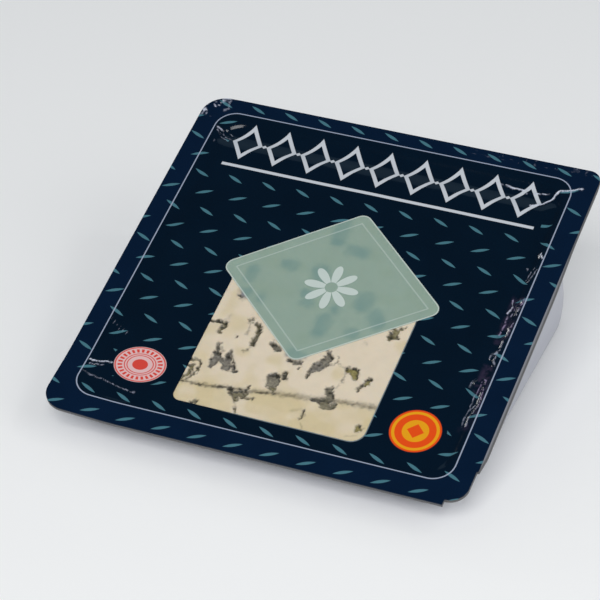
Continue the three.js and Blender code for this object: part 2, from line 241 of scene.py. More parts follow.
def corner_arc(centre_x, centre_y, radius, start, count):
    """A quarter circle of points about a centre, from a starting angle in quarter turns."""
    angle = (start + np.linspace(0, 1, count)) * math.pi / 2
    return np.stack([centre_x + radius * np.cos(angle), centre_y + radius * np.sin(angle)], 1)


def lid_corners(count):
    """The lid's four corners: three arcs, and the peel corner with a step before and after its arc."""
    half_x, half_y = LID_WIDTH / 2, LID_LENGTH / 2
    arcs = []
    for name, sx, sy, start in (("heel_right", 1, 1, 0), ("heel_left", -1, 1, 1), ("front_left", -1, -1, 2)):
        radius = CORNER[name]
        arcs.append(corner_arc(sx * (half_x - radius), sy * (half_y - radius), radius, start, count))
    radius = CORNER["front_right"]
    peel_x, peel_y = half_x - PEEL["inset_x"] - radius, PEEL["inset_y"] - half_y + radius
    arc = corner_arc(peel_x, peel_y, radius, 3, count - 3)
    first = [[PEEL["step_x"], -half_y]]
    last = [[half_x - PEEL["inset_x"], PEEL["step_y"]], [half_x, PEEL["step_y"]]]
    return arcs + [np.concatenate([first, arc, last])]


def joined_corners(corners, side):
    """A closed outline: each corner's points, then evenly spaced points along the side to the next corner."""
    parts = []
    share = np.arange(1, side + 1)[:, None] / (side + 1)
    for here, there in zip(corners, corners[1:] + corners[:1]):
        parts += [here, here[-1] + share * (there[0] - here[-1])]
    return np.concatenate(parts)


def reach_of(outline, angles, centre):
    """How far a closed outline lies from a centre in each direction. Each direction meets it once."""
    fine = np.linspace(0, 1, 20, endpoint=False)[:, None]
    following = np.roll(outline, -1, 0)
    points = (outline[:, None] + fine * (following - outline)[:, None]).reshape(-1, 2) - centre
    turn = np.arctan2(points[:, 1], points[:, 0])
    order = np.argsort(turn)
    return np.interp(angles, turn[order], np.hypot(*points.T)[order], period=2 * math.pi)


def window_outline():
    """The window's rectangle with round lower corners. Its top lies past the diamond's middle, out of use."""
    left, right, bottom = WINDOW["left"], WINDOW["right"], WINDOW["bottom"]
    near, far = WINDOW_CORNER["left"], WINDOW_CORNER["right"]
    top = DIAMOND["y"] + 5 * MM
    lower_left = corner_arc(left + near, bottom + near, near, 2, 8)
    lower_right = corner_arc(right - far, bottom + far, far, 3, 8)
    return np.concatenate([[[right, top], [left, top]], lower_left, lower_right])


def diamond_outline():
    """The diamond, with an arc at each tip that is tangent to the two sides which meet there."""
    x, y, wide, high, radius = (DIAMOND[key] for key in ("x", "y", "half_width", "upper_height", "corner"))
    tips = np.array([[x + wide, y], [x, y + high], [x - wide, y], LOWER_TIP])
    along = np.roll(tips, -1, 0) - tips
    outward = np.stack([along[:, 1], -along[:, 0]], 1) / np.hypot(*along.T)[:, None]
    points = []
    for tip, before, after in zip(tips, np.roll(outward, 1, 0), outward):
        centre = tip - radius * (before + after) / (1 + before @ after)
        angle = math.atan2(before[1], before[0]) + np.linspace(0, math.acos(before @ after), 8)
        points.append(centre + radius * np.stack([np.cos(angle), np.sin(angle)], 1))
    return np.concatenate(points)


HUB = np.array([DIAMOND["x"], DIAMOND["y"]])
# Where the film is folded, in degrees about the diamond's middle: right side, heel corners, front left
FOLDED_SECTORS = ((-36, 28), (38, 60), (129, 140), (-146, -126))
# Directions all round, degrees between those at the folds, and the smallest turn from one to the next
EVEN_DIRECTIONS = 300
FOLD_STEP = 0.25
LEAST_TURN = 1e-4
LID_OUTLINE = joined_corners(lid_corners(CORNER_STEPS), SIDE_STEPS)
DIAMOND_OUTLINE = diamond_outline()
WINDOW_OUTLINE = window_outline()


def shared_angles():
    """Directions from the diamond's middle that the film, the pane and the diamond share, so that they meet.

    They are even all round, closer together toward the folds, and go through every corner of an outline.
    """
    even = np.linspace(-math.pi, math.pi, EVEN_DIRECTIONS, endpoint=False)
    creased = [np.radians(np.arange(low, high, FOLD_STEP)) for low, high in FOLDED_SECTORS]
    peel = lid_corners(CORNER_STEPS)[3][[0, 1, -2, -1]] - HUB
    window_corners = WINDOW_OUTLINE[2:] - HUB
    tips = DIAMOND_OUTLINE - HUB
    through = [np.arctan2(p[:, 1], p[:, 0]) for p in (peel, window_corners, tips)]
    angles = np.sort(np.concatenate([even, *creased, *through]))
    return angles[np.concatenate([[True], np.diff(angles) > LEAST_TURN])]


ANGLES = shared_angles()
DIAMOND_REACH = reach_of(DIAMOND_OUTLINE, ANGLES, HUB)
WINDOW_REACH = reach_of(WINDOW_OUTLINE, ANGLES, HUB)
LID_REACH = reach_of(LID_OUTLINE, ANGLES, HUB)


# The film's relief

def inside_wall(x, y):
    """Distance to the pocket's wall, positive inside: that of a rectangle with round corners."""
    corner = FLANGE_CORNER - SKIN
    beyond_x = np.abs(x) - (POCKET_HALF_WIDTH - SKIN - corner)
    beyond_y = np.abs(y) - (POCKET_HALF_LENGTH - SKIN - corner)
    outside = np.hypot(np.maximum(beyond_x, 0), np.maximum(beyond_y, 0))
    return corner - outside - np.minimum(np.maximum(beyond_x, beyond_y), 0)


def film_sag(x, y):
    """How far the film sinks: the deepest of three troughs, faded out toward the wall."""
    inner, heel_edge = CHEESE_HALF_WIDTH + MM, CHEESE_FRONT + CHEESE_RADIUS
    wall, end = POCKET_HALF_WIDTH - SKIN, POCKET_HALF_LENGTH - SKIN
    side = np.where(x < 0, LEFT_SAG, RIGHT_SAG) * trough(np.abs(x), inner, wall)
    heel = HEEL_SAG * trough(y, heel_edge, end)
    front = FRONT_SAG * trough(-y, -CHEESE_FRONT, end)
    return np.maximum(np.maximum(side, heel), front) * smooth_step(inside_wall(x, y), SEAL_EDGE, WALL_FADE)


# Folds in the film, as points on the lid, with a height and a half width. All in millimetres.
RIGHT_FOLDS = [
    (((56, -38), (56.2, -34), (57, -32.5), (57.5, -30), (57.2, -24), (56.6, -20.5), (55.5, -20)), 0.3, 0.32),
    (((55, -38), (54.8, -33), (55.2, -28), (55.3, -22), (55.5, -20)), 0.25, 0.3),
    (((55.5, -31.5), (56.5, -30)), 0.3, 0.35),
    (((52.5, -24), (52.8, -21.5), (54, -20)), 0.28, 0.3),
    (((57.3, -15), (56.3, -13), (56, -9.5), (54.8, -11)), 0.32, 0.35),
    (((55, -13), (54.6, -10.5), (56, -9)), 0.3, 0.32),
    (((56.6, -9), (57, -4), (57.2, 2)), 0.2, 0.3),
    (((54.6, -3), (55.2, 1), (54.8, 5)), 0.2, 0.35),
    (((57.3, 5), (57.5, 11.5)), 0.3, 0.4),
    (((54.3, 10.5), (55, 8), (54.6, 5.5)), 0.35, 0.35),
    (((56, 8.5), (55.8, 4.5)), 0.2, 0.3),
    (((57.7, 23), (57, 20.5), (56.6, 18)), 0.22, 0.25),
    (((56.8, 24), (56, 21.5), (55.6, 18.5)), 0.22, 0.25),
    (((56.6, 29.5), (57.4, 28)), 0.4, 0.4),
    (((54.4, 23.6), (54.9, 22.8)), 0.32, 0.32),
]
HEEL_FOLDS = [
    (((47.5, 47.6), (49, 47.9), (50.4, 48.7), (51.6, 50), (52.6, 51.8), (53.5, 53.6), (54.6, 54.8), (58, 56),
      (61, 57.4)), 0.42, 0.36),
    (((34, 54.6), (40, 53.6), (44.6, 53.4)), 0.25, 0.4),
    (((37.6, 54), (40, 53.6), (43.8, 53.4)), 0.4, 0.34),
    (((47.6, 53.3), (50.4, 53.8)), 0.38, 0.32),
    (((44.6, 52.8), (52, 54)), 0.25, 0.3),
    (((-57.2, 53), (-55.4, 52.2)), 0.35, 0.32),
    (((-54, 53), (-53.6, 52.7)), 0.35, 0.32),
    (((-52.4, 51.6), (-51.8, 51.2)), 0.35, 0.32),
    (((-56.8, 52), (-54.7, 49.7), (-52.3, 48.4)), 0.2, 0.28),
    (((-55, 51.4), (-53.2, 50), (-51.2, 49.2)), 0.2, 0.28),
    (((-57.6, 48.2), (-55.8, 47.4)), 0.2, 0.28),
    (((-57.8, 44), (-56.6, 43)), 0.2, 0.28),
]
FRONT_FOLDS = [
    (((-58, -50), (-53.5, -50.8), (-48, -52), (-43, -52.8), (-38, -53.6)), 0.15, 0.3),
    (((-57.4, -45.5), (-54.8, -45.3), (-50.6, -44.4)), 0.4, 0.28),
    (((-57, -46.6), (-52.6, -46.2)), 0.34, 0.2),
    (((-57.4, -29), (-54.7, -31.3), (-51, -33)), 0.12, 0.28),
    (((36.5, -51.4), (41.4, -51.1)), 0.15, 0.28),
]
# Small blisters in the seal
SPECKS = [((60.4, 12.4), 0.1), ((59.6, 24.2), 0.12), ((59.2, -23.2), 0.2), ((59.8, 4), 0.1), ((60, 33), 0.1),
          ((41, 3.8), 0.14), ((30, -14), 0.1), ((31.5, -14.4), 0.1), ((-44, 31), 0.1), ((18, 45), 0.08)]


def distance_to_path(x, y, path):
    """Distance from each point to the nearest stretch of a path of straight lines."""
    nearest = np.full(np.shape(x), np.inf)
    for (ax, ay), (bx, by) in zip(path, path[1:]):
        dx, dy = bx - ax, by - ay
        share = np.clip(((x - ax) * dx + (y - ay) * dy) / (dx * dx + dy * dy), 0, 1)
        nearest = np.minimum(nearest, np.hypot(x - ax - share * dx, y - ay - share * dy))
    return nearest


def fold_ridges(x, y):
    """Rounded ridges along the folds: their height in metres, and a crease of up to 2 on the highest, whose
    top is painted as a highlight.
    """
    way, size = FOLD_BEND["way"], FOLD_BEND["size"]
    mx = (x + way * layered_noise(x, y, size, 11)) / MM
    my = (y + way * layered_noise(x, y, size, 12)) / MM
    height, crease = np.zeros_like(mx), np.zeros_like(mx)
    for path, rise, half_width in RIGHT_FOLDS + HEEL_FOLDS + FRONT_FOLDS:
        ridge = np.exp(-(distance_to_path(mx, my, path) / half_width) ** 2)
        height = np.maximum(height, rise * MM * ridge)
        crease = np.maximum(crease, ridge * (1 + smooth_step(rise, 0.3, 0.4)))
    for (speck_x, speck_y), rise in SPECKS:
        height = np.maximum(height, rise * MM * np.exp(-((mx - speck_x) ** 2 + (my - speck_y) ** 2) / 0.2))
    return height, crease


def gathered(x, y):
    """Where the film is gathered in the right trough, from 0 to 1."""
    across = between(x / MM, (53.4, 54.6), (57.6, 58.2))
    along = between(y / MM, (-40, -37), (11, 13))
    return across * along * smooth_step(value_noise(x, y, 6 * MM, 21), 0.2, 0.45)


def crumple(x, y, size, seed):
    """Fine sharp ridges, from 0 to 1: the cube of one less twice the noise's distance to a half.

    The noise is squeezed in x and stretched in y, so the ridges mostly run along the pack.
    """
    squeeze_x, squeeze_y = 1.3, 0.7
    return (1 - np.abs(2 * value_noise(x * squeeze_x, y * squeeze_y, size, seed) - 1)) ** 3


def pinched_rim(x, y):
    """How crinkled the seal is, from 0 to 1: most at the heel's left corner, less on the right of its rim."""
    corner = smooth_step(np.hypot(x + LID_WIDTH / 2, y - LID_LENGTH / 2) / MM, 11.5, 7.5)
    along = smooth_step(x / MM, 10, 25) * smooth_step(y / MM, 61.5, 63)
    return np.maximum(corner, 0.36 * along)


def corner_lift(x, y):
    """How far the front left corner springs up: a smooth rise toward the corner's point."""
    away = np.hypot(x + LID_WIDTH / 2, y + LID_LENGTH / 2)
    return SPRUNG_CORNER["height"] * smooth_step(away, SPRUNG_CORNER["reach"], 0)


def film_height(x, y):
    """Height of the film's upper face in the lid's frame, how creased it is there, and how slack."""
    ridge, crease = fold_ridges(x, y)
    slack = gathered(x, y)
    pinch = pinched_rim(x, y)
    inside = smooth_step(inside_wall(x, y), 0, WAVES["fade"])
    waves = WAVES["height"] * layered_noise(x, y, WAVES["size"], 31, 2) * inside
    pinches = pinch * crumple(x, y, PINCHES["size"], 23)
    wrinkles = WRINKLES["height"] * slack * crumple(x, y, WRINKLES["size"], 22) + PINCHES["height"] * pinches
    height = corner_lift(x, y) - film_sag(x, y) + waves + ridge + wrinkles
    height = height - FILM_DROP - PINCHES["drop"] * pinch
    return height, np.maximum(crease, PINCHES["crease"] * pinches), slack


# Pieces of the lid

def film_slab(name, angles, inner, outer, shares, closed=True, hollow=True):
    """A thin slab between two outlines about the hub, each given by its reach in each direction.

    Its rows run out over the upper face and back over the underside. In a slab with a hollow middle the
    last row meets the first. Open ends are filled. The upper face's x, y, crease and slack come with it.
    """
    reach = inner + shares[:, None] * (outer - inner)
    x, y = HUB[0] + reach * np.cos(angles), HUB[1] + reach * np.sin(angles)
    top, crease, slack = film_height(x, y)
    points = np.concatenate([in_pack(x, y, top), in_pack(x, y, top - FILM)[::-1]])
    rows, columns = points.shape[:2]
    obj = new_object(name, points, grid_faces(rows + hollow, columns, closed) % (rows * columns))
    if not (closed and hollow):
        close_ends(obj)
    obj.data.set_sharp_from_angle(angle=SHARP_ANGLE)
    return obj, x, y, crease, slack


def paint_film(obj, name, values):
    """Paints the values of a film's upper face on both of its faces."""
    paint(obj, name, np.concatenate([values, values[::-1]]))


def printed_film(material):
    """The printed film: rings from the edge of the window and the diamond out to the lid's outline."""
    inner = np.where(np.sin(ANGLES) < 0, np.maximum(DIAMOND_REACH, WINDOW_REACH), DIAMOND_REACH)
    shares = spaced((0, 0.55, 0.96, 1), (10, 42, 3))
    obj, _, _, crease, slack = film_slab("printed_film", ANGLES, inner, LID_REACH, shares)
    paint_film(obj, "crease", crease)
    paint_film(obj, "slack", slack)
    return finish_piece(obj, material, "navy_print", "lid_film")


def window_pane(material):
    """The clear pane: the part of the window that the diamond leaves free."""
    low = (np.sin(ANGLES) < 0) & (WINDOW_REACH > DIAMOND_REACH)
    angles, inner, outer = ANGLES[low], DIAMOND_REACH[low], WINDOW_REACH[low]
    obj = film_slab("window_pane", angles, inner, outer, np.linspace(0, 1, 40), closed=False)[0]
    return finish_piece(obj, material, "clear_film", "lid_window")


def printed_diamond(material):
    """The diamond: rings from its middle to its outline, closed by one face at the middle of each side."""
    shares = spaced((0.02, 1), (40,))
    obj, x, y, _, _ = film_slab("printed_diamond", ANGLES, 0, DIAMOND_REACH, shares, hollow=False)
    edge = np.concatenate([DIAMOND_OUTLINE, DIAMOND_OUTLINE[:1]])
    paint_film(obj, "inward", distance_to_path(x, y, edge) / MM)
    return finish_piece(obj, material, "mint_print", "lid_diamond")


# The tray

MEETING_ROUNDS = 14


def ring_directions():
    """For each point round the pocket: how far along each half side it lies, and the corner's unit circle."""
    stores = u, v, across, along = [], [], [], []
    onward = 2 * np.arange(1, SIDE_STEPS + 1) / (SIDE_STEPS + 1) - 1
    sides = [(-onward, 1, 0, 1), (-1, -onward, -1, 0), (onward, -1, 0, -1), (1, onward, 1, 0)]
    signs = [(1, 1), (-1, 1), (-1, -1), (1, -1)]
    for quarter, (sign, side) in enumerate(zip(signs, sides)):
        angle = (quarter + np.linspace(0, 1, CORNER_STEPS)) * math.pi / 2
        for store, at_corner, at_side in zip(stores, (*sign, np.cos(angle), np.sin(angle)), side):
            store += [np.broadcast_to(at_corner, CORNER_STEPS), np.broadcast_to(at_side, SIDE_STEPS)]
    return [np.concatenate(store) for store in stores]


RING = ring_directions()


def depth_below_lid(y, height):
    """How far under the lid's plane a point of the resting frame lies, measured square to the lid."""
    return (y - CENTRE_Y) * SIN - (height - CENTRE_HEIGHT) * COS


def rested(y, z):
    """Y and height in the resting frame of a point of the lid's frame."""
    return CENTRE_Y + y * COS - z * SIN, CENTRE_HEIGHT + y * SIN + z * COS


def heel_at(height):
    """Y of the heel wall at a height: a wall with a shoulder near the lid and a round nose at the floor."""
    depth = np.linspace(-20, 60, 800) * MM
    shoulder = 1 - smooth_step(depth, 0, SHOULDER_DEPTH)
    wall_y, wall_z = rested(HEEL_WALL + (POCKET_HALF_LENGTH - HEEL_WALL) * shoulder, -depth)
    order = np.argsort(wall_z)
    straight = np.interp(height, wall_z[order], wall_y[order])
    reach = NOSE_ROUND * (1 + SIN)
    foot = np.interp(reach, wall_z[order], wall_y[order]) + reach * math.tan(LID_TILT)
    centre = foot - NOSE_ROUND * (1 + SIN) / COS
    nose = centre + np.sqrt(np.maximum(NOSE_ROUND ** 2 - (height - NOSE_ROUND) ** 2, 0))
    return np.where(height < reach, nose, straight)


def front_at(height):
    """Y of the thin end's wall at a height: a straight leaning wall."""
    foot_y, foot_z = rested(-POCKET_HALF_LENGTH, 0)
    return foot_y + (foot_z - height) * math.tan(FRONT_DRAFT + LID_TILT)


def edge_inset(height, radius):
    """How far a rounded edge pulls a wall in: the gap between a quarter circle and its tangent."""
    return radius - np.sqrt(radius ** 2 - np.maximum(radius - height, 0) ** 2)


def pocket_ring(height, inset, flare=0.0):
    """Points round the pocket at a height for each: a rectangle with round corners, narrowed by the draft."""
    u, v, across, along = RING
    grow = flare - inset
    half_x = POCKET_HALF_WIDTH - edge_inset(height, EDGE_ROUND) + grow
    heel, front = heel_at(height) + grow, front_at(height) + edge_inset(height, FRONT_ROUND) - grow
    share = np.clip((height - FLOOR) / CENTRE_HEIGHT, 0, 1)
    corner = FLOOR_CORNER + (FLANGE_CORNER - FLOOR_CORNER) * share + grow
    x = u * (half_x - corner) + corner * across
    y = (heel + front) / 2 + v * ((heel - front) / 2 - corner) + corner * along
    narrowing = 1 - depth_below_lid(y, height) * math.tan(SIDE_DRAFT) / half_x
    return np.stack([x * narrowing, y, height + inset], 1)


def wall_tops(inset, lid_height):
    """Height at which each wall meets a plane of the lid, found by repeating the plane's equation."""
    height = np.full(len(RING[0]), CENTRE_HEIGHT)
    for _ in range(MEETING_ROUNDS):
        y = pocket_ring(height, inset)[:, 1]
        height = CENTRE_HEIGHT + (lid_height + (y - CENTRE_Y) * SIN) / COS - inset
    return height


def flange_ring(lid_height, shrink=0.0):
    """The flange's outline at a height of the lid's frame, shrunk toward the middle by a bevel.

    On the right it reaches past the film by a bare strip, narrow near the heel and gone at the corners.
    """
    outline = joined_corners(lid_corners(CORNER_STEPS), SIDE_STEPS)
    x, y = outline.T * (1 - shrink / (LID_WIDTH / 2))
    along = between(y / MM, STRIP_BEGINS, STRIP_ENDS) * (1 - STRIP_LOSS * smooth_step(y / MM, *STRIP_NARROWS))
    strip = BARE_STRIP * along * smooth_step(x / MM, *STRIP_OUTSIDE)
    return in_pack(x + strip, y, lid_height + corner_lift(x, y))


def rings_from(start, end, shares):
    """Rings at shares of the way from one ring, or point, to another."""
    return [start + share * (end - start) for share in shares]


def tray_shell(material):
    """One closed skin: up inside the pocket, out over the flange, and down the outside to the floor."""
    shares = np.linspace(0, 1, 40) ** 1.8
    inner_top, outer_top = wall_tops(SKIN, FLANGE_TOP), wall_tops(0, FLANGE_UNDERSIDE)
    inside = [pocket_ring(share * inner_top, SKIN) for share in shares]
    outside = [pocket_ring(share * (outer_top - FLANGE_FILLET), 0) for share in shares[:-1]]
    for drop in FLANGE_FILLET * (1 - np.cos(np.linspace(math.pi / 2, 0, 6))):
        outside.append(pocket_ring(outer_top - drop, 0, edge_inset(drop, FLANGE_FILLET)))
    rim = [flange_ring(FLANGE_TOP, RIM_BEVEL), flange_ring(FLANGE_TOP - RIM_BEVEL),
           flange_ring(FLANGE_UNDERSIDE + RIM_BEVEL), flange_ring(FLANGE_UNDERSIDE, RIM_BEVEL)]
    over = rings_from(inside[-1], rim[0], (0.25, 0.5, 0.75))
    under = rings_from(rim[-1], outside[-1], (0.25, 0.5, 0.75))
    floor_in = rings_from(inside[0].mean(0), inside[0], (0.05, 0.35, 0.7))
    floor_out = rings_from(outside[0].mean(0), outside[0], (0.7, 0.35, 0.05))
    rows = floor_in + inside + over + rim + under + outside[::-1] + floor_out
    obj = new_object("tray_shell", np.concatenate(rows), grid_faces(len(rows), len(RING[0]), True))
    # The flange's rim is painted dark grey: partly the sheet's cut edge, partly painted shade under the
    # flange
    at_edge = np.zeros((len(rows), len(RING[0])))
    first = len(floor_in + inside + over)
    at_edge[first:first + 3] = 1
    paint(obj, "cut_edge_and_shade", at_edge)
    close_ends(obj)
    obj.data.set_sharp_from_angle(angle=SHARP_ANGLE)
    return finish_piece(obj, material, "tray_plastic", "tray")


# The cheese

# Mould in the cut face as strokes, in millimetres: points, half width, and how olive it is
MOULD = [
    (((-28.9, -21.6), (-26, -21.4), (-24, -21.2)), 0.55, 0.6),
    (((-23.8, -21), (-23.9, -23), (-24.2, -25)), 0.6, 0.5),
    (((-15.2, -18.9), (-13.8, -19.3), (-13.4, -21), (-13, -23.4)), 0.65, 0.5),
    (((-13.2, -24.2), (-13, -27)), 0.6, 0.4),
    (((-16.8, -17.2), (-17.6, -18.5), (-17, -19.2)), 0.28, 0.4),
    (((-22.8, -29.2), (-22.1, -32)), 0.5, 0.1),
    (((-22, -33.4), (-21.9, -37.2)), 1.2, 0),
    (((-21, -34.6), (-18.4, -35.4)), 0.85, 0),
    (((-18.3, -31), (-18.4, -33)), 0.65, 0),
    (((-18.2, -34), (-17.1, -37)), 1.25, 0),
    (((-15.7, -36), (-14.4, -37.6)), 0.4, 0),
    (((-7.6, -24.8), (-6.2, -25.4), (-5.1, -26.7)), 0.7, 0.1),
    (((-0.6, -29.4), (1.4, -29.7), (2.9, -29.4)), 0.6, 0.1),
    (((3.1, -31.1), (3.1, -31.4)), 0.35, 0.2),
    (((-2.6, -37), (-2.4, -38.4)), 1.95, 0.15),
    (((0.3, -34.4), (0.4, -36)), 0.65, 0.2),
    (((-2.4, -40), (-0.8, -41)), 0.7, 0.5),
    (((9.4, -23.4), (9.9, -25.2)), 0.55, 0.1),
    (((10.2, -25.4), (9.8, -27.6)), 1.25, 0.1),
    (((9.2, -28), (8.2, -29.8)), 1.25, 0),
    (((7.4, -29), (7.2, -31)), 0.85, 0),
    (((6.7, -31.6), (6.6, -33.7)), 0.5, 0.2),
    (((17.4, -28), (19.6, -27.8)), 0.95, 1),
    (((19.1, -28.4), (20, -29.8)), 1, 1),
    (((24.3, -29.6), (24.4, -31.8)), 0.6, 0.9),
    (((23.4, -32.6), (22.2, -33.5)), 0.45, 0.4),
    (((22.3, -33.8), (22.9, -34.8)), 0.3, 0.4),
    (((14.6, -36.4), (15.3, -37.8), (16.2, -39.4)), 1, 0.2),
    (((14.8, -40.8), (15.4, -42.3)), 1.6, 0.35),
    (((14.2, -41), (10.6, -40.9)), 0.6, 0.1),
    (((17.6, -40.6), (17.4, -42.4)), 0.65, 0.3),
    (((-13.4, -44), (-12, -45.2)), 0.6, 0.2),
    (((-11.6, -45.3), (-9.6, -44.8)), 1.15, 0.4),
    (((-11.2, -46.2), (-10, -47.3)), 0.7, 0.5),
    (((-8.6, -43.6), (-8.3, -42)), 0.4, 0.3),
    (((-8.2, -44), (-7.9, -45.4)), 0.4, 0.5),
    (((-9, -45.8), (-5.2, -45.9)), 0.3, 0.5),
    (((-29.5, -37.4), (-26.6, -36.7), (-25, -37.3), (-25, -39.6), (-25.6, -42), (-27, -44.2)), 0.32, 0.5),
    (((-28.9, -39.4), (-27.2, -39), (-27, -41.6), (-28.2, -43.6)), 0.5, 0.7),
    (((25.6, -10.6), (25.2, -13)), 1.1, 0.6),
    (((24.2, -12), (26.8, -12.6)), 0.55, 0.5),
    (((27.8, -8.6), (26.4, -10.2)), 0.35, 0.8),
    (((-17.1, -17.2), (-16.8, -18.2), (-17.4, -19)), 0.25, 0.1),
    (((-18.6, -25.2), (-18.4, -25.2)), 0.35, 0.2),
    (((-22.6, -52), (-20.8, -51)), 0.45, 0.3),
    (((-9.5, -49.8), (-8.4, -51.6)), 0.2, 0.9),
    (((10.4, -45.8), (10.8, -47), (10.3, -48.6)), 0.3, 0.6),
    (((27.2, -47), (27.6, -47.6)), 0.95, 1),
    (((-23.8, -10.6), (-22.9, -10.9)), 0.4, 0.3),
]
# Large soft pockets under the diamond, where the print hides their detail
VEILED = [
    (((-4, 25), (-3, 18)), 2.2, 0), (((2, 15.5), (6, 15.5)), 2, 0), (((-14.5, 5), (-12.5, 5)), 1.8, 0),
    (((-4, 5.5), (-3, 3.5)), 2.4, 0), (((-23.5, 0.5), (-23.5, -3)), 1.6, 0),
    (((-5.5, -4), (-4, -4.4)), 1.4, 0), (((-4, -7.5), (-3, -7.5)), 1.4, 0), (((13, -1), (13, -4)), 2.5, 0),
    (((18, -7), (19, -9)), 2.4, 0), (((4, -12), (4, -17)), 2, 0), (((13, -15), (14, -15)), 1.7, 0),
    (((-22.5, -8.6), (-22.5, -9.4)), 1.6, 0), (((5.5, -7), (5.5, -8)), 1.2, 0),
    (((-1, -26.4), (2, -27)), 1.2, 0), (((-17.5, -9), (-17.5, -10)), 1.2, 0),
]
# The needle track across the wedge, and fine cracks: points, half width and darkness, in millimetres
NEEDLE_TRACK = [
    (((-29.5, -45.2), (-20, -44.8), (-14, -43.8)), 0.55, 0.95), (((-14, -43.8), (-8, -43.4)), 0.6, 1),
    (((-8, -43.4), (-3, -42.6), (0, -42)), 0.65, 0.9), (((0, -42), (8, -41), (11, -40.6)), 0.9, 0.6),
    (((11, -40.6), (16, -40)), 0.75, 0.85), (((16, -40), (19, -39.6), (24, -39.2)), 0.75, 0.8),
    (((24, -39.2), (31, -38.8)), 0.85, 0.7),
]
CRACKS = [
    (((13.7, -26.2), (16, -27.8), (17, -30)), 0.25, 0.35), (((17, -30), (17.2, -32.6)), 0.35, 0.6),
    (((17.2, -32.6), (15.8, -36)), 0.25, 0.3), (((16.2, -27.3), (17.2, -29.4)), 0.3, 0.6),
    (((19.7, -27), (20.8, -30.9)), 0.25, 0.4), (((22, -33.2), (22.4, -33.8)), 0.4, 0.6),
    (((12.9, -24.2), (13.4, -26), (12.4, -27.3), (11, -28.7), (9.8, -30.6), (8.4, -31.5)), 0.22, 0.7),
    (((16.2, -36.8), (17, -38.6), (18.1, -39.8), (17.4, -41.4), (18.1, -42.7)), 0.25, 0.75),
    (((-28.9, -21.5), (-26, -21.3), (-24, -21.1)), 0.4, 0.85), (((-23.6, -18), (-23.7, -20.6)), 0.5, 0.25),
    (((-23.8, -20.8), (-23.9, -23), (-24.2, -25.4)), 0.4, 0.6),
    (((-13.2, -27.2), (-13.8, -29.2)), 0.35, 0.35),
    (((-15.2, -18.9), (-13.8, -19.3), (-13.4, -21), (-13, -23.4)), 0.45, 0.9),
    (((-13.2, -24.4), (-12.9, -26.9)), 0.45, 0.9), (((-13.7, -29.2), (-14.9, -29.9)), 0.35, 0.8),
    (((-16.5, -19.2), (-16.4, -21.4), (-16.2, -23.8)), 0.4, 0.4),
    (((-22.8, -29.4), (-22.1, -32.6)), 0.35, 0.7), (((-21.6, -30.1), (-20.5, -31.6)), 0.3, 0.5),
 (((-14.4, -37.9), (-17.4, -38.1)), 0.3, 0.5),
    (((-17.7, -31.9), (-16.4, -33.8), (-15.2, -35.8), (-14.3, -37.8)), 0.35, 0.9),
    (((-3.6, -35.4), (-2.6, -35.8), (-1.2, -35.6)), 0.45, 0.95), (((-0.8, -29.2), (2.6, -29)), 0.3, 0.7),
    (((-0.8, -35.4), (0.3, -34.6), (0.6, -36), (1.2, -36.2)), 0.5, 0.95),
    (((10.4, -47.6), (10.6, -48.4)), 0.35, 0.5),
    (((-12.8, -44), (-12.2, -45.6), (-11.4, -46.7), (-9.8, -47.9)), 0.3, 0.65),
    (((-9.8, -48), (-9.8, -49.5), (-8.8, -51.4)), 0.35, 0.3),
    (((-27, -44.2), (-28.6, -44.6)), 0.3, 0.5), (((24.8, -50.9), (28, -49.8)), 0.25, 0.25),
    (((11, -50), (12, -51.6)), 0.25, 0.3), (((18.6, -17), (19.4, -17.4)), 0.5, 0.25),
    (((7, -46.4), (9.4, -45.3)), 0.5, 0.2),
]
# Where the rims of the pockets are darkest: place and radius, in millimetres
DARK_RIMS = [
    (-22, -32.4, 0.8), (-18.4, -32.8, 1), (-3.1, -35.7, 0.7), (0.4, -35.8, 0.8), (-13.5, -44, 0.8),
    (-13.2, -21, 0.8), (-13, -26, 0.8), (-23.8, -21.2, 0.8), (-7.3, -25, 0.8), (-5.1, -26.7, 0.6),
    (9.4, -23.6, 0.6), (16.8, -27.8, 0.5), (24.4, -32, 0.6), (15, -37, 0.6), (17.9, -40, 0.7),
    (18, -42.4, 0.6), (-25, -37.2, 0.8), (-28.2, -38.8, 0.7), (6.8, -33.4, 0.5), (25, -12.8, 0.8),
    (8.4, -28.4, 0.5), (9.6, -30.8, 0.4), (28, -46.4, 0.5),
]
# Marks are placed as seen through the film. The cut face lies a little below it, which moves them this much.
MARK_SHIFT = (0.3, -0.25)
# How far the marks' edges are frayed and the size of the noise that frays them, coarse and fine
COARSE_FRAY, FINE_FRAY = (0.7, 1.9), (0.7, 0.6)
RIM_INSIDE, RIM_WIDTH = 0.1, 0.4
HALO_WIDTH = 0.9
# The paste is yellower below the needle track, taken as a straight line, and in a patch on the left
TRACK = {"height": -42, "slope": 0.1}
LEFT_PATCH = {"x": -27, "y": -36, "width": 6.325}
# Depths of a pocket, of its rim and of the unevenness in it, in millimetres
POCKET_DEPTH, RIM_DEPTH, UNEVEN_DEPTH = 0.6, 0.2, 0.15


def stroke_distance(x, y, strokes):
    """Signed distance to the nearest stroke in millimetres, negative inside, and how olive that one is."""
    nearest, olive = np.full(np.shape(x), np.inf), np.zeros(np.shape(x))
    for path, half_width, tint in strokes:
        distance = distance_to_path(x, y, path) - half_width
        olive = np.where(distance < nearest, tint, olive)
        nearest = np.minimum(nearest, distance)
    return nearest, olive


def bell(distance, width):
    """A bell curve: 1 at no distance and about a third at the width."""
    return np.exp(-(distance / width) ** 2)


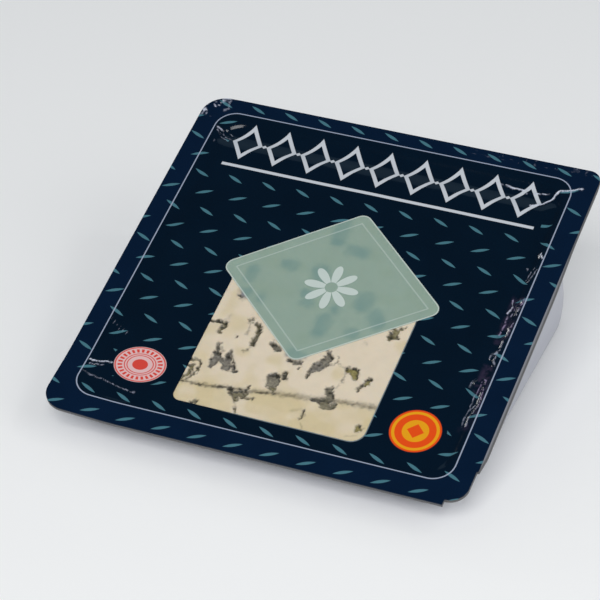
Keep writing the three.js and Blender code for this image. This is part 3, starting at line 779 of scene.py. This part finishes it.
def dark_marks(mx, my, fine_x, fine_y, distance):
    """Rims of the pockets, the needle track and cracks, from 0 to 1: bell curves of the distance to each.

    Rims are strongest where the distance grows toward the deep end, a painted shade, and at the listed
    places.
    """
    patchy = smooth_step(value_noise(mx, my, 1.1, 61), 0.3, 0.7)
    # Painted shade: rims darker on the side of each pocket toward the deep end
    facing = smooth_step(np.gradient(distance, axis=0) / np.gradient(my, axis=0), -0.2, 0.8)
    rim = bell(distance + RIM_INSIDE, RIM_WIDTH) * (0.38 * patchy + 0.75 * facing * (0.35 + 0.65 * patchy))
    for dark_x, dark_y, radius in DARK_RIMS:
        near = bell(np.hypot(mx - dark_x, my - dark_y), radius)
        rim = np.maximum(rim, near * smooth_step(-distance, -0.4, 0.1))
    spread = 0.8 + 0.5 * value_noise(mx, my, 1.3, 71)
    speckled = 0.65 + 0.35 * smooth_step(value_noise(mx, my, 0.8, 73), 0.25, 0.75)
    for path, half_width, dark in NEEDLE_TRACK + CRACKS:
        away = distance_to_path(mx + fine_x, my + fine_y, path)
        rim = np.maximum(rim, dark * bell(away, half_width * spread) * speckled)
    return rim


def cheese_marks(x, y):
    """Marks by name, each from 0 to 1, over the cut face, and the depth of its pits.

    The strokes' distances are taken at places shifted by noise, which frays their edges.
    """
    mx, my = x / MM + MARK_SHIFT[0], y / MM + MARK_SHIFT[1]
    (coarse, coarse_size), (fine, fine_size) = COARSE_FRAY, FINE_FRAY
    fine_x, fine_y = (fine * layered_noise(mx, my, fine_size, seed, 2) for seed in (51, 56))
    bent_x = mx + coarse * layered_noise(mx, my, coarse_size, 41) + fine_x
    bent_y = my + coarse * layered_noise(mx, my, coarse_size, 46) + fine_y
    distance, olive = stroke_distance(bent_x, bent_y, MOULD)
    veiled, _ = stroke_distance(bent_x, bent_y, VEILED)
    body = smooth_step(-distance, -0.3, 0.25)
    rim = dark_marks(mx, my, fine_x, fine_y, distance)
    soft = smooth_step(-veiled, -1.6, 1.0) * (0.6 + 0.4 * value_noise(mx, my, 2.5, 75))
    below_track = smooth_step(TRACK["height"] + TRACK["slope"] * mx - my, -3, 2.5)
    left_patch = bell(np.hypot(mx - LEFT_PATCH["x"], my - LEFT_PATCH["y"]), LEFT_PATCH["width"])
    drift = 0.7 * smooth_step(value_noise(mx, my, 5, 81), 0.45, 0.9)
    pale_patches = 0.5 * smooth_step(value_noise(mx, my, 4, 83), 0.5, 0.9)
    halo = 0.4 * np.exp(-np.maximum(distance, 0) / HALO_WIDTH)
    yellow = np.clip(0.8 * below_track + 0.5 * left_patch + drift - pale_patches - halo, 0, 1)
    uneven = UNEVEN_DEPTH * body * layered_noise(mx, my, 0.9, 91, 2)
    pits = (POCKET_DEPTH * body + RIM_DEPTH * rim + uneven) * MM
    marks = {"mould": np.maximum(body, soft), "rim": np.minimum(rim, 1), "yellow": yellow,
             "olive": olive * np.maximum(body, halo), "blue": soft * (1 - body)}
    return marks, pits


def swept_edge(border):
    """Rings that carry a face's border down to the floor, turned about the line where both cut faces meet."""
    floor = FLOOR + SKIN + FLOOR_GAP
    tip_y, tip_z = rested(CHEESE_FRONT, FLANGE_TOP)
    meet_y = tip_y - (tip_z - floor) / math.tan(LID_TILT)
    radius = np.hypot(border[:, 1] - meet_y, border[:, 2] - floor)
    slope = np.arctan2(border[:, 2] - floor, border[:, 1] - meet_y)
    return [np.stack([border[:, 0], meet_y + radius * np.cos(slope * share),
                      floor + radius * np.sin(slope * share)], 1) for share in (0.8, 0.6, 0.4, 0.2, 0.05, 0)]


def cheese_wedge(material):
    """A sector of a wheel: the upper cut face on a grid, finest in the window, and its swept edge."""
    heel = CHEESE_FRONT + CHEESE_RADIUS
    margin, veiled_from = 2 * MM, -5 * MM
    xs = spaced((-CHEESE_HALF_WIDTH, DIAMOND["x"] - DIAMOND["half_width"], WINDOW["left"] - margin,
                 WINDOW["right"] + margin, DIAMOND["x"] + DIAMOND["half_width"], CHEESE_HALF_WIDTH),
                (8, 10, 260, 12, 8))
    ys = spaced((CHEESE_FRONT, veiled_from, DIAMOND["y"] + DIAMOND["upper_height"], heel), (200, 70, 8))
    x, y = np.meshgrid(xs, ys)
    marks, pits = cheese_marks(x, y)
    edge = np.minimum(np.minimum(CHEESE_HALF_WIDTH - np.abs(x), heel - y), y - CHEESE_FRONT)
    height = film_height(x, y)[0] - FILM - CLEARANCE - pits - edge_inset(edge, CHEESE_EDGE)
    top = in_pack(x, y, height).reshape(-1, 3)
    rows, columns = x.shape
    numbers = np.arange(rows * columns).reshape(rows, columns)
    loop = np.concatenate([numbers[0], numbers[1:, -1], numbers[-1, -2::-1], numbers[-2:0:-1, 0]])
    sweep = swept_edge(top[loop])
    swept = rows * columns + np.arange(len(sweep) * len(loop)).reshape(len(sweep), -1)
    index = np.concatenate([[loop], swept])
    walls = index.ravel()[grid_faces(len(index), len(loop), True, flip=True)]
    faces = [*grid_faces(rows, columns, False), *walls, index[-1][::-1]]
    obj = new_object("cheese", np.concatenate([top, *sweep]), faces)
    for name, values in marks.items():
        paint(obj, name, np.concatenate([values.ravel(), np.zeros(swept.size)]))
    return finish_piece(obj, material, "blue_cheese", "cheese_wedge")


# Short hand for shader nodes

class Nodes:
    """Adds nodes to a material's or a group's tree and links what they are given."""

    def __init__(self, tree):
        self.tree = tree

    def give(self, socket, value):
        """Links a socket to the value if that is a socket too, or else sets it."""
        if isinstance(value, bpy.types.NodeSocket):
            self.tree.links.new(value, socket)
        else:
            socket.default_value = value

    def add(self, kind, inputs=(), **settings):
        """A node with settings, and inputs from socket names or numbers to values or sockets."""
        node = self.tree.nodes.new(kind)
        for key, value in settings.items():
            setattr(node, key, value)
        for key, value in dict(inputs).items():
            self.give(node.inputs[key], value)
        return node

    def math(self, operation, *values):
        """A Math node's result."""
        return self.add("ShaderNodeMath", enumerate(values), operation=operation).outputs[0]

    def plus(self, a, b):
        """The sum of two values."""
        return self.math("ADD", a, b)

    def minus(self, a, b):
        """The first value less the second."""
        return self.math("SUBTRACT", a, b)

    def times(self, a, b):
        """The product of two values."""
        return self.math("MULTIPLY", a, b)

    def most(self, *values):
        """The largest of several values."""
        result = values[0]
        for value in values[1:]:
            result = self.math("MAXIMUM", result, value)
        return result

    def apart(self, a, b=0.0):
        """How far apart two values are."""
        return self.math("ABSOLUTE", self.minus(a, b))

    def length(self, a, b):
        """The length of the vector with those two components."""
        return self.math("SQRT", self.plus(self.times(a, a), self.times(b, b)))

    def step(self, value, low, high):
        """0 to 1 as the value goes from low to high, smoothly."""
        inputs = {"Value": value, "From Min": low, "From Max": high}
        return self.add("ShaderNodeMapRange", inputs, interpolation_type="SMOOTHSTEP").outputs[0]

    def below(self, value, limit, soft):
        """1 where the value is under the limit, with a soft edge."""
        return self.minus(1.0, self.step(value, limit - soft, limit + soft))

    def near(self, value, middle, half, soft):
        """1 where the value is less than that half width from the middle, with soft edges."""
        return self.below(self.apart(value, middle), half, soft)

    def mix(self, factor, a, b, blend="MIX"):
        """Two colours mixed."""
        node = self.add("ShaderNodeMix", data_type="RGBA", blend_type=blend)
        for socket, value in zip((node.inputs[0], node.inputs[6], node.inputs[7]), (factor, a, b)):
            self.give(socket, value)
        return node.outputs[2]

    def noise(self, place, scale, detail=3.0, roughness=0.5):
        """A Noise texture's value, with its scale in waves for each unit of the place."""
        inputs = {"Vector": place, "Scale": scale, "Detail": detail, "Roughness": roughness}
        return self.add("ShaderNodeTexNoise", inputs).outputs[0]

    def bump(self, strength, distance, height):
        """A Bump node's normal."""
        inputs = {"Strength": strength, "Distance": distance, "Height": height}
        return self.add("ShaderNodeBump", inputs).outputs[0]

    def split(self, vector):
        """The x, y and z of a vector."""
        return self.add("ShaderNodeSeparateXYZ", {0: vector}).outputs

    def attribute(self, name):
        """One number kept at the mesh's points."""
        return self.add("ShaderNodeAttribute", attribute_name=name).outputs["Fac"]

    def group(self, tree, **inputs):
        """A shared group placed with its own values."""
        node = self.add("ShaderNodeGroup")
        node.node_tree = tree
        for key, value in inputs.items():
            self.give(node.inputs[key.replace("_", " ").title()], value)
        return node.outputs

    def object_place(self):
        """Object coordinates."""
        return self.add("ShaderNodeTexCoord").outputs["Object"]

    def lid_place(self):
        """Object coordinates turned into millimetres on the lid."""
        turned = Matrix.Rotation(-LID_TILT, 3, "X") @ Vector((0, CENTRE_Y, CENTRE_HEIGHT))
        inputs = {"Vector": self.object_place(), "Location": -turned / MM, "Rotation": (-LID_TILT, 0, 0),
                  "Scale": (1 / MM, 1 / MM, 1 / MM)}
        return self.add("ShaderNodeMapping", inputs).outputs[0]


def linear(red, green, blue):
    """A colour seen on a screen, from 0 to 255, as the linear colour that a shader takes."""
    def channel(value):
        share = value / 255
        return share / 12.92 if share <= 0.04045 else ((share + 0.055) / 1.055) ** 2.4
    return (channel(red), channel(green), channel(blue), 1)


def new_group(name, inputs, outputs):
    """A node group with sockets given as (name, kind, value), short hand for its tree, and its two ends."""
    tree = bpy.data.node_groups.new(name, "ShaderNodeTree")
    for socket_name, kind, value in inputs:
        socket = tree.interface.new_socket(socket_name, in_out="INPUT", socket_type=kind)
        if value is not None:
            socket.default_value = value
    for socket_name, kind in outputs:
        tree.interface.new_socket(socket_name, in_out="OUTPUT", socket_type=kind)
    nodes = Nodes(tree)
    return tree, nodes, nodes.add("NodeGroupInput").outputs, nodes.add("NodeGroupOutput").inputs


def film_gloss_group():
    """Gloss of thin film: a fine uneven bump, with smears that vary the roughness."""
    tree, n, given, out = new_group(
        "film_gloss",
        [("Place", "NodeSocketVector", None), ("Roughness", "NodeSocketFloat", 0.15),
         ("Height", "NodeSocketFloat", 0.5)],
        [("Roughness", "NodeSocketFloat"), ("Normal", "NodeSocketVector")],
    )
    smear = n.noise(given["Place"], 0.06, 4.0, 0.6)
    ripple = n.noise(given["Place"], 0.35, 3.0, 0.55)
    tree.links.new(n.times(given["Roughness"], n.plus(0.6, n.times(smear, 0.8))), out["Roughness"])
    tree.links.new(n.bump(given["Height"], 0.1 * MM, ripple), out["Normal"])
    return tree


def mottle_group():
    """Colour that drifts a little over a surface: a light and a dark form of it mixed by layered noise."""
    tree, n, given, out = new_group(
        "mottle",
        [("Place", "NodeSocketVector", None), ("Color", "NodeSocketColor", (0.8, 0.8, 0.8, 1)),
         ("Scale", "NodeSocketFloat", 0.2), ("Amount", "NodeSocketFloat", 0.1)],
        [("Color", "NodeSocketColor"), ("Mask", "NodeSocketFloat")],
    )
    cloud = n.noise(given["Place"], given["Scale"], 5.0, 0.6)
    shade = n.plus(1.0, n.times(given["Amount"], n.minus(cloud, 0.5)))
    tint = n.add("ShaderNodeCombineColor", {0: shade, 1: shade, 2: shade}).outputs[0]
    tree.links.new(n.mix(1.0, given["Color"], tint, "MULTIPLY"), out["Color"])
    tree.links.new(cloud, out["Mask"])
    return tree


# Softness of a printed edge in millimetres, the leaves' lean, and each row's shift as a share of the pitch
SOFT = 0.08
LEAF_LEAN = math.radians(24)
ROW_SHIFT = 0.34


def leaf_scatter_group():
    """Slim leaves in rows on the lid's plane, leaning one way and then the other, from repeated cells.

    Each row is shifted by a share of the pitch. A leaf's edge is a parabola over its length.
    """
    tree, n, given, out = new_group(
        "leaf_scatter",
        [("Place", "NodeSocketVector", None), ("Pitch", "NodeSocketFloat", 11.2),
         ("Rise", "NodeSocketFloat", 7.4), ("Half Length", "NodeSocketFloat", 2.9),
         ("Half Width", "NodeSocketFloat", 0.52)],
        [("Mask", "NodeSocketFloat")],
    )
    x, y, _ = n.split(given["Place"])
    row = n.math("DIVIDE", y, given["Rise"])
    whole = n.math("FLOOR", row)
    lean = n.minus(n.times(n.math("FLOORED_MODULO", whole, 2.0), 2.0), 1.0)
    shifted = n.plus(n.math("DIVIDE", x, given["Pitch"]), n.times(whole, ROW_SHIFT))
    fx = n.times(n.minus(n.math("FRACT", shifted), 0.5), given["Pitch"])
    fy = n.times(n.minus(n.minus(row, whole), 0.5), given["Rise"])
    leaning = n.times(lean, math.sin(LEAF_LEAN))
    along = n.plus(n.times(fx, math.cos(LEAF_LEAN)), n.times(fy, leaning))
    across = n.minus(n.times(fy, math.cos(LEAF_LEAN)), n.times(fx, leaning))
    share = n.math("DIVIDE", along, given["Half Length"])
    edge = n.times(given["Half Width"], n.minus(1.0, n.times(share, share)))
    tree.links.new(n.step(n.minus(edge, n.apart(across)), -SOFT, SOFT), out["Mask"])
    return tree


def round_frame_group():
    """Signed distance on the lid to a rectangle with round corners, negative inside."""
    tree, n, given, out = new_group(
        "round_frame",
        [("Place", "NodeSocketVector", None), ("Center X", "NodeSocketFloat", 0.0),
         ("Center Y", "NodeSocketFloat", 0.0), ("Half Width", "NodeSocketFloat", 10.0),
         ("Half Height", "NodeSocketFloat", 10.0), ("Corner", "NodeSocketFloat", 2.0)],
        [("Distance", "NodeSocketFloat")],
    )
    x, y, _ = n.split(given["Place"])
    beyond = []
    for value, centre, half in ((x, given["Center X"], given["Half Width"]),
                                (y, given["Center Y"], given["Half Height"])):
        beyond.append(n.plus(n.minus(n.apart(value, centre), half), given["Corner"]))
    outside = n.length(*(n.most(value, 0.0) for value in beyond))
    within = n.math("MINIMUM", n.most(*beyond), 0.0)
    tree.links.new(n.minus(n.plus(outside, within), given["Corner"]), out["Distance"])
    return tree


GLOSS, MOTTLE = film_gloss_group(), mottle_group()
LEAVES, ROUND_FRAME = leaf_scatter_group(), round_frame_group()


def new_material(name):
    """An empty material, short hand for its tree, and its output."""
    material = bpy.data.materials.new(name)
    material.use_nodes = True
    material.node_tree.nodes.clear()
    nodes = Nodes(material.node_tree)
    return material, nodes, nodes.add("ShaderNodeOutputMaterial").inputs["Surface"]


def shaded(material, n, surface, kind, inputs):
    """The material, with a shader of that kind and those inputs on its surface."""
    material.node_tree.links.new(n.add(kind, inputs).outputs[0], surface)
    return material


# Print on the film. Sizes in millimetres on the lid.
FRAME_LINE = {"center_x": -0.1, "center_y": 1.0, "half_width": 58.3, "half_height": 59.0, "corner": 6.5}
BAR = {"center_x": 0.75, "center_y": 38.7, "half_width": 50.75, "half_height": 0.55, "corner": 0.1}
BAND_ZONE = {"center_x": 0.75, "center_y": 47.6, "half_width": 52.5, "half_height": 10.6, "corner": 0.5}
PANE_EDGE = {"center_x": 0.55, "center_y": 0.0, "half_width": 29.45, "half_height": 52.2, "corner": 4.2}
THIN_LINE = 0.18
BAND_MIDDLE = 49.2
BAND_HALF = 51.3
LOZENGES = 9
LOZENGE_HALF = (4.3, 6.6)
STROKE = 0.62
BEAD = 0.9
LEFT_SEAL = {"x": -42.4, "y": -43.0, "half_width": 8.0, "half_height": 6.5}
RIGHT_SEAL = {"x": 43.3, "y": -43.4, "half_width": 7.5, "half_height": 7.5}

# The seals' rings by middle and half width, as shares of the way out, and how far they keep the leaves off
LEFT_RINGS = ((0.95, 0.025), (0.6, 0.02), (0.5, 0.02), (0.0, 0.3))
LEFT_BEADS = {"count": 26.0, "middle": 0.77, "half": 0.09}
RIGHT_RINGS = ((0.86, 0.06), (0.0, 0.52))
RIGHT_CORE = 0.34
SEAL_MARGIN = 1.2
SEAL_SOFT = 0.02

# The diamond's border, the line inside it and the rosette at its middle
BORDER = 0.4
INNER_LINE = {"middle": 3.2, "half": 0.22}
ROSETTE = {"radius": 8.5, "eye": (1.8, 2.1), "petals": 8, "fullness": 0.7}
MINT_COVER, EXTRA_COVER = 0.67, 0.28


def lozenge_band(n, x, y):
    """Mask of a row of open lozenges, each with a small solid one beside it, along the lid's deep end."""
    wide, high = LOZENGE_HALF
    pitch = 2 * BAND_HALF / LOZENGES
    cell = n.minus(n.math("FRACT", n.math("DIVIDE", n.plus(x, BAND_HALF), pitch)), 0.5)
    fx = n.apart(n.times(cell, pitch))
    fy = n.apart(y, BAND_MIDDLE)
    slanted = n.minus(n.plus(n.times(fx, high), n.times(fy, wide)), wide * high)
    line = n.near(n.math("DIVIDE", slanted, math.hypot(wide, high)), 0.0, STROKE, SOFT)
    bead = n.below(n.plus(n.apart(fx, pitch / 2), fy), BEAD, 0.1)
    line = n.times(line, n.near(x, 0.0, BAND_HALF, 0.1))
    return n.most(line, n.times(bead, n.near(x, 0.0, BAND_HALF - 1, 0.1)))


def seal_distance(n, x, y, seal):
    """Share of the way from a seal's centre to its edge, 1 at the edge, with its two axes."""
    u = n.math("DIVIDE", n.minus(x, seal["x"]), seal["half_width"])
    v = n.math("DIVIDE", n.minus(y, seal["y"]), seal["half_height"])
    return n.length(u, v), u, v


def ringed(n, share, rings):
    """Mask of several rings, each given by its middle and half width as shares of the way out."""
    return n.most(*(n.near(share, middle, half, 0.015) for middle, half in rings))


def printed_seals(n, left_seal, right_seal, color):
    """The colour with both seals over it: a pale one with red rings, and an orange one with amber rings."""
    left, left_u, left_v = left_seal
    right, right_u, right_v = right_seal
    color = n.mix(n.below(left, 1.0, SEAL_SOFT), color, linear(222, 184, 184))
    waves = n.math("SINE", n.times(n.math("ARCTAN2", left_v, left_u), LEFT_BEADS["count"]))
    beaded = n.times(n.math("GREATER_THAN", waves, -0.1),
                     n.near(left, LEFT_BEADS["middle"], LEFT_BEADS["half"], SEAL_SOFT))
    color = n.mix(n.most(ringed(n, left, LEFT_RINGS), beaded), color, linear(212, 72, 62))
    orange, amber = linear(228, 78, 24), linear(230, 158, 26)
    color = n.mix(n.below(right, 1.0, SEAL_SOFT), color, orange)
    color = n.mix(ringed(n, right, RIGHT_RINGS), color, amber)
    core = n.below(n.plus(n.apart(right_u), n.apart(right_v)), RIGHT_CORE, SEAL_SOFT)
    return n.mix(core, color, orange)


def wear_and_painted_sheen(n, place, color):
    """The colour with a painted sheen where the film is slack, pale wear on its folds and a painted highlight
    on the highest.
    """
    slack = n.attribute("slack")
    # Painted sheen: lilac brown over the gathered strip of film
    slack_sheen = n.times(slack, n.step(n.noise(place, 0.5, 2.0), 0.35, 0.65))
    color = n.mix(n.times(slack_sheen, 0.65), color, linear(56, 48, 70))
    crease = n.attribute("crease")
    worn = n.times(n.step(crease, 0.35, 1.0), n.step(n.noise(place, 0.8, 3.0), 0.4, 0.6))
    stretched = n.mix(slack, linear(178, 182, 202), linear(182, 162, 200))
    color = n.mix(n.times(worn, 0.55), color, stretched)
    # Painted highlight: near white along the highest folds and the seal's crinkles
    return n.mix(n.times(n.step(crease, 0.9, 1.7), 0.85), color, linear(212, 218, 232))


def navy_print():
    """Dark navy print with teal leaves, a pale line, a bar, a band of lozenges and two plain round seals."""
    material, n, surface = new_material("navy_print")
    place = n.lid_place()
    x, y, _ = n.split(place)
    frame_distance, bar, band_zone, pane_edge = (
        n.group(ROUND_FRAME, place=place, **sizes)[0] for sizes in (FRAME_LINE, BAR, BAND_ZONE, PANE_EDGE))
    navy = n.mix(n.below(frame_distance, 0.2, 0.5), linear(6, 26, 50), linear(4, 21, 37))
    navy = n.group(MOTTLE, place=place, color=navy, scale=0.05, amount=0.5)[0]
    seals = [seal_distance(n, x, y, seal) for seal in (LEFT_SEAL, RIGHT_SEAL)]
    near_seal = n.most(*(n.below(share, SEAL_MARGIN, SEAL_SOFT) for share, _, _ in seals))
    free = n.times(n.minus(1.0, near_seal), n.step(band_zone, -0.1, 0.1))
    color = n.mix(n.times(n.group(LEAVES, place=place)[0], free), navy, linear(70, 116, 129))
    color = n.mix(n.near(frame_distance, 0.0, THIN_LINE, SOFT), color, linear(158, 168, 188))
    pale = n.most(n.below(bar, 0.0, SOFT), lozenge_band(n, x, y))
    color = n.mix(pale, color, linear(198, 203, 210))
    color = wear_and_painted_sheen(n, place, printed_seals(n, *seals, color))
    # Painted highlight: a thin pale line along the right and lower part of the window's edge
    edge_highlight = n.times(n.near(pane_edge, 0.0, THIN_LINE, 0.12), n.step(x, -18.0, 4.0))
    edge_highlight = n.times(edge_highlight, n.below(y, -6.0, 2.0))
    color = n.mix(n.times(edge_highlight, 0.55), color, linear(150, 166, 172))
    gloss = n.group(GLOSS, place=place, roughness=0.1, height=0.2)
    inputs = {"Base Color": color, "Roughness": gloss["Roughness"], "Normal": gloss["Normal"], "IOR": 1.5}
    return shaded(material, n, surface, "ShaderNodeBsdfPrincipled", inputs)


def front_only(n, value):
    """The value where a face is seen from outside and 0 from inside, so that a thin slab counts once."""
    return n.times(value, n.minus(1.0, n.add("ShaderNodeNewGeometry").outputs["Backfacing"]))


def clear_film():
    """Clear film: what is behind it, with its gloss laid over by Fresnel."""
    material, n, surface = new_material("clear_film")
    gloss = n.group(GLOSS, place=n.lid_place(), roughness=0.08, height=0.2)
    clear = n.add("ShaderNodeBsdfTransparent", {"Color": (0.985, 0.99, 0.985, 1)})
    shine = n.add("ShaderNodeBsdfGlossy", {"Roughness": gloss["Roughness"], "Normal": gloss["Normal"]})
    fresnel = n.add("ShaderNodeFresnel", {"IOR": 1.45, "Normal": gloss["Normal"]})
    inputs = {0: front_only(n, fresnel.outputs[0]), 1: clear.outputs[0], 2: shine.outputs[0]}
    return shaded(material, n, surface, "ShaderNodeMixShader", inputs)


def mint_print():
    """Mint print that lets a little of the cheese through, with a pale border and a plain rosette."""
    material, n, surface = new_material("mint_print")
    place = n.lid_place()
    x, y, _ = n.split(place)
    inward = n.attribute("inward")
    mint = n.group(MOTTLE, place=place, color=linear(141, 174, 163), scale=0.08, amount=0.12)[0]
    border = n.below(inward, BORDER, 0.1)
    color = n.mix(border, mint, linear(198, 211, 203))
    inner_line = n.near(inward, INNER_LINE["middle"], INNER_LINE["half"], SOFT)
    from_x, from_y = n.minus(x, DIAMOND["x"] / MM), n.minus(y, DIAMOND["y"] / MM)
    radius = n.length(from_x, from_y)
    petals = n.apart(n.math("COSINE", n.times(n.math("ARCTAN2", from_y, from_x), ROSETTE["petals"] / 2)))
    edge = n.times(ROSETTE["radius"], n.math("POWER", petals, ROSETTE["fullness"]))
    rosette = n.times(n.step(n.minus(edge, radius), -0.1, 0.1), n.step(radius, *ROSETTE["eye"]))
    pale = n.most(rosette, n.times(inner_line, 0.5))
    color = n.mix(n.times(pale, 0.75), color, linear(214, 222, 218))
    gloss = n.group(GLOSS, place=place, roughness=0.12, height=0.2)
    opaque = n.most(pale, n.times(border, 0.6))
    alpha = front_only(n, n.plus(MINT_COVER, n.times(opaque, EXTRA_COVER)))
    inputs = {"Base Color": color, "Roughness": gloss["Roughness"], "Normal": gloss["Normal"], "IOR": 1.45,
              "Alpha": alpha}
    return shaded(material, n, surface, "ShaderNodeBsdfPrincipled", inputs)


def blue_cheese():
    """Moist cream paste, yellower in places, with grey mould, dark rims and olive tints from the marks."""
    material, n, surface = new_material("blue_cheese")
    place = n.lid_place()
    paste = n.mix(n.attribute("yellow"), linear(234, 218, 197), linear(222, 204, 167))
    paste = n.group(MOTTLE, place=place, color=paste, scale=0.25, amount=0.16)[0]
    speckle = n.step(n.noise(place, 1.1, 4.0, 0.65), 0.35, 0.65)
    grey = n.mix(speckle, linear(113, 107, 100), linear(154, 147, 138))
    olive = n.mix(speckle, linear(134, 124, 76), linear(166, 155, 104))
    mould = n.mix(n.attribute("olive"), grey, olive)
    mould = n.mix(n.attribute("blue"), mould, linear(92, 108, 136))
    color = n.mix(n.attribute("mould"), paste, mould)
    # Dark rims: mould at the pockets' edges, with painted shade on their deep-end side
    color = n.mix(n.attribute("rim"), color, linear(46, 44, 36))
    grain = n.bump(0.35, 0.15 * MM, n.noise(place, 1.4, 5.0, 0.6))
    inputs = {"Base Color": color, "Roughness": 0.42, "Normal": grain, "Subsurface Weight": 0.2,
              "Subsurface Radius": (1.0, 0.7, 0.4), "Subsurface Scale": 1.2 * MM}
    return shaded(material, n, surface, "ShaderNodeBsdfPrincipled", inputs)


def tray_plastic():
    """Cool white formed sheet: faint drawn streaks down the walls and a fine orange peel."""
    material, n, surface = new_material("tray_plastic")
    place = n.object_place()
    color = n.group(MOTTLE, place=place, color=linear(182, 184, 194), scale=18.0, amount=0.08)[0]
    # Dark grey at the flange's rim: the sheet's cut edge, with painted shade under the flange
    color = n.mix(n.attribute("cut_edge_and_shade"), color, linear(86, 86, 87))
    streaks = n.add("ShaderNodeMapping", {"Vector": place, "Scale": (420, 420, 40)}).outputs[0]
    height = n.plus(n.times(n.noise(streaks, 1.0, 2.0), 0.4), n.noise(place, 900.0, 2.0))
    inputs = {"Base Color": color, "Roughness": 0.36, "Normal": n.bump(0.25, 0.04 * MM, height), "IOR": 1.5}
    return shaded(material, n, surface, "ShaderNodeBsdfPrincipled", inputs)


# Setting

def studio_floor():
    """A wide pale floor just under the tray."""
    half, gap = 3.0, 0.05 * MM
    corners = [(-half, -half), (half, -half), (half, half), (-half, half)]
    floor = new_object("studio_floor", [(x, y, FLOOR - gap) for x, y in corners], [[0, 1, 2, 3]])
    material, n, surface = new_material("studio_floor")
    color = n.group(MOTTLE, place=n.object_place(), color=(0.93, 0.93, 0.93, 1), scale=3.0, amount=0.01)[0]
    inputs = {"Base Color": color, "Roughness": 0.9, "Specular IOR Level": 0.1}
    floor.data.materials.append(shaded(material, n, surface, "ShaderNodeBsdfPrincipled", inputs))


def soft_light(name, azimuth, elevation, distance, size, power, color=(1, 1, 1)):
    """An area light that looks at the pack from an azimuth and an elevation."""
    light = bpy.data.lights.new(name, "AREA")
    light.size = size
    light.energy = power
    light.color = color
    obj = bpy.data.objects.new(name, light)
    a, e = math.radians(azimuth), math.radians(elevation)
    back = Vector((math.sin(a) * math.cos(e), -math.cos(a) * math.cos(e), math.sin(e)))
    obj.location = Vector((0, 0, CENTRE_HEIGHT)) + back * distance
    obj.rotation_euler = back.to_track_quat("Z", "Y").to_euler()
    bpy.context.scene.collection.objects.link(obj)


def studio_light():
    """Large soft lights where the level film doesn't mirror them, and small ones that make the folds sparkle.

    A blue one lays a faint sheen on the heel trough. A pale sky fills the shadows but isn't mirrored.
    """
    soft_light("key_light", 8, 46, 1.1, 0.6, 5.3)
    soft_light("fill_light", 80, 36, 1.2, 0.8, 2.4)
    soft_light("left_spark", -123, 19, 1.2, 0.12, 0.4)
    soft_light("right_spark", 125, 48, 1.2, 0.12, 0.5)
    soft_light("heel_sheen", 200, 30, 1.3, 0.8, 0.4, (0.5, 0.78, 1))
    world = bpy.data.worlds.new("pale_sky")
    world.use_nodes = True
    nodes = Nodes(world.node_tree)
    background = world.node_tree.nodes["Background"]
    background.inputs["Color"].default_value = (0.95, 0.98, 1, 1)
    ray = nodes.add("ShaderNodeLightPath").outputs
    seen = nodes.times(ray["Is Camera Ray"], 0.9)
    fill = nodes.times(ray["Is Diffuse Ray"], 0.45)
    mirrored = 0.02
    world.node_tree.links.new(nodes.plus(nodes.plus(seen, fill), mirrored), background.inputs["Strength"])
    bpy.context.scene.world = world
    bpy.context.scene.view_settings.view_transform = "Standard"


def photo_camera():
    """The camera of the photograph: a long lens at the front right, aimed a little left of the middle."""
    eye = Vector((0.2447, -0.6232, 0.4658))
    aim = Vector((-0.0048, -0.0098, CENTRE_HEIGHT))
    camera = bpy.data.cameras.new("photo_camera")
    camera.sensor_width = 36
    camera.lens = 162
    obj = bpy.data.objects.new("photo_camera", camera)
    obj.location = eye
    obj.rotation_euler = (aim - eye).to_track_quat("-Z", "Y").to_euler()
    bpy.context.scene.collection.objects.link(obj)
    bpy.context.scene.camera = obj


photo_camera()
studio_light()
studio_floor()
tray_shell(tray_plastic())
cheese_wedge(blue_cheese())
printed_film(navy_print())
window_pane(clear_film())
printed_diamond(mint_print())
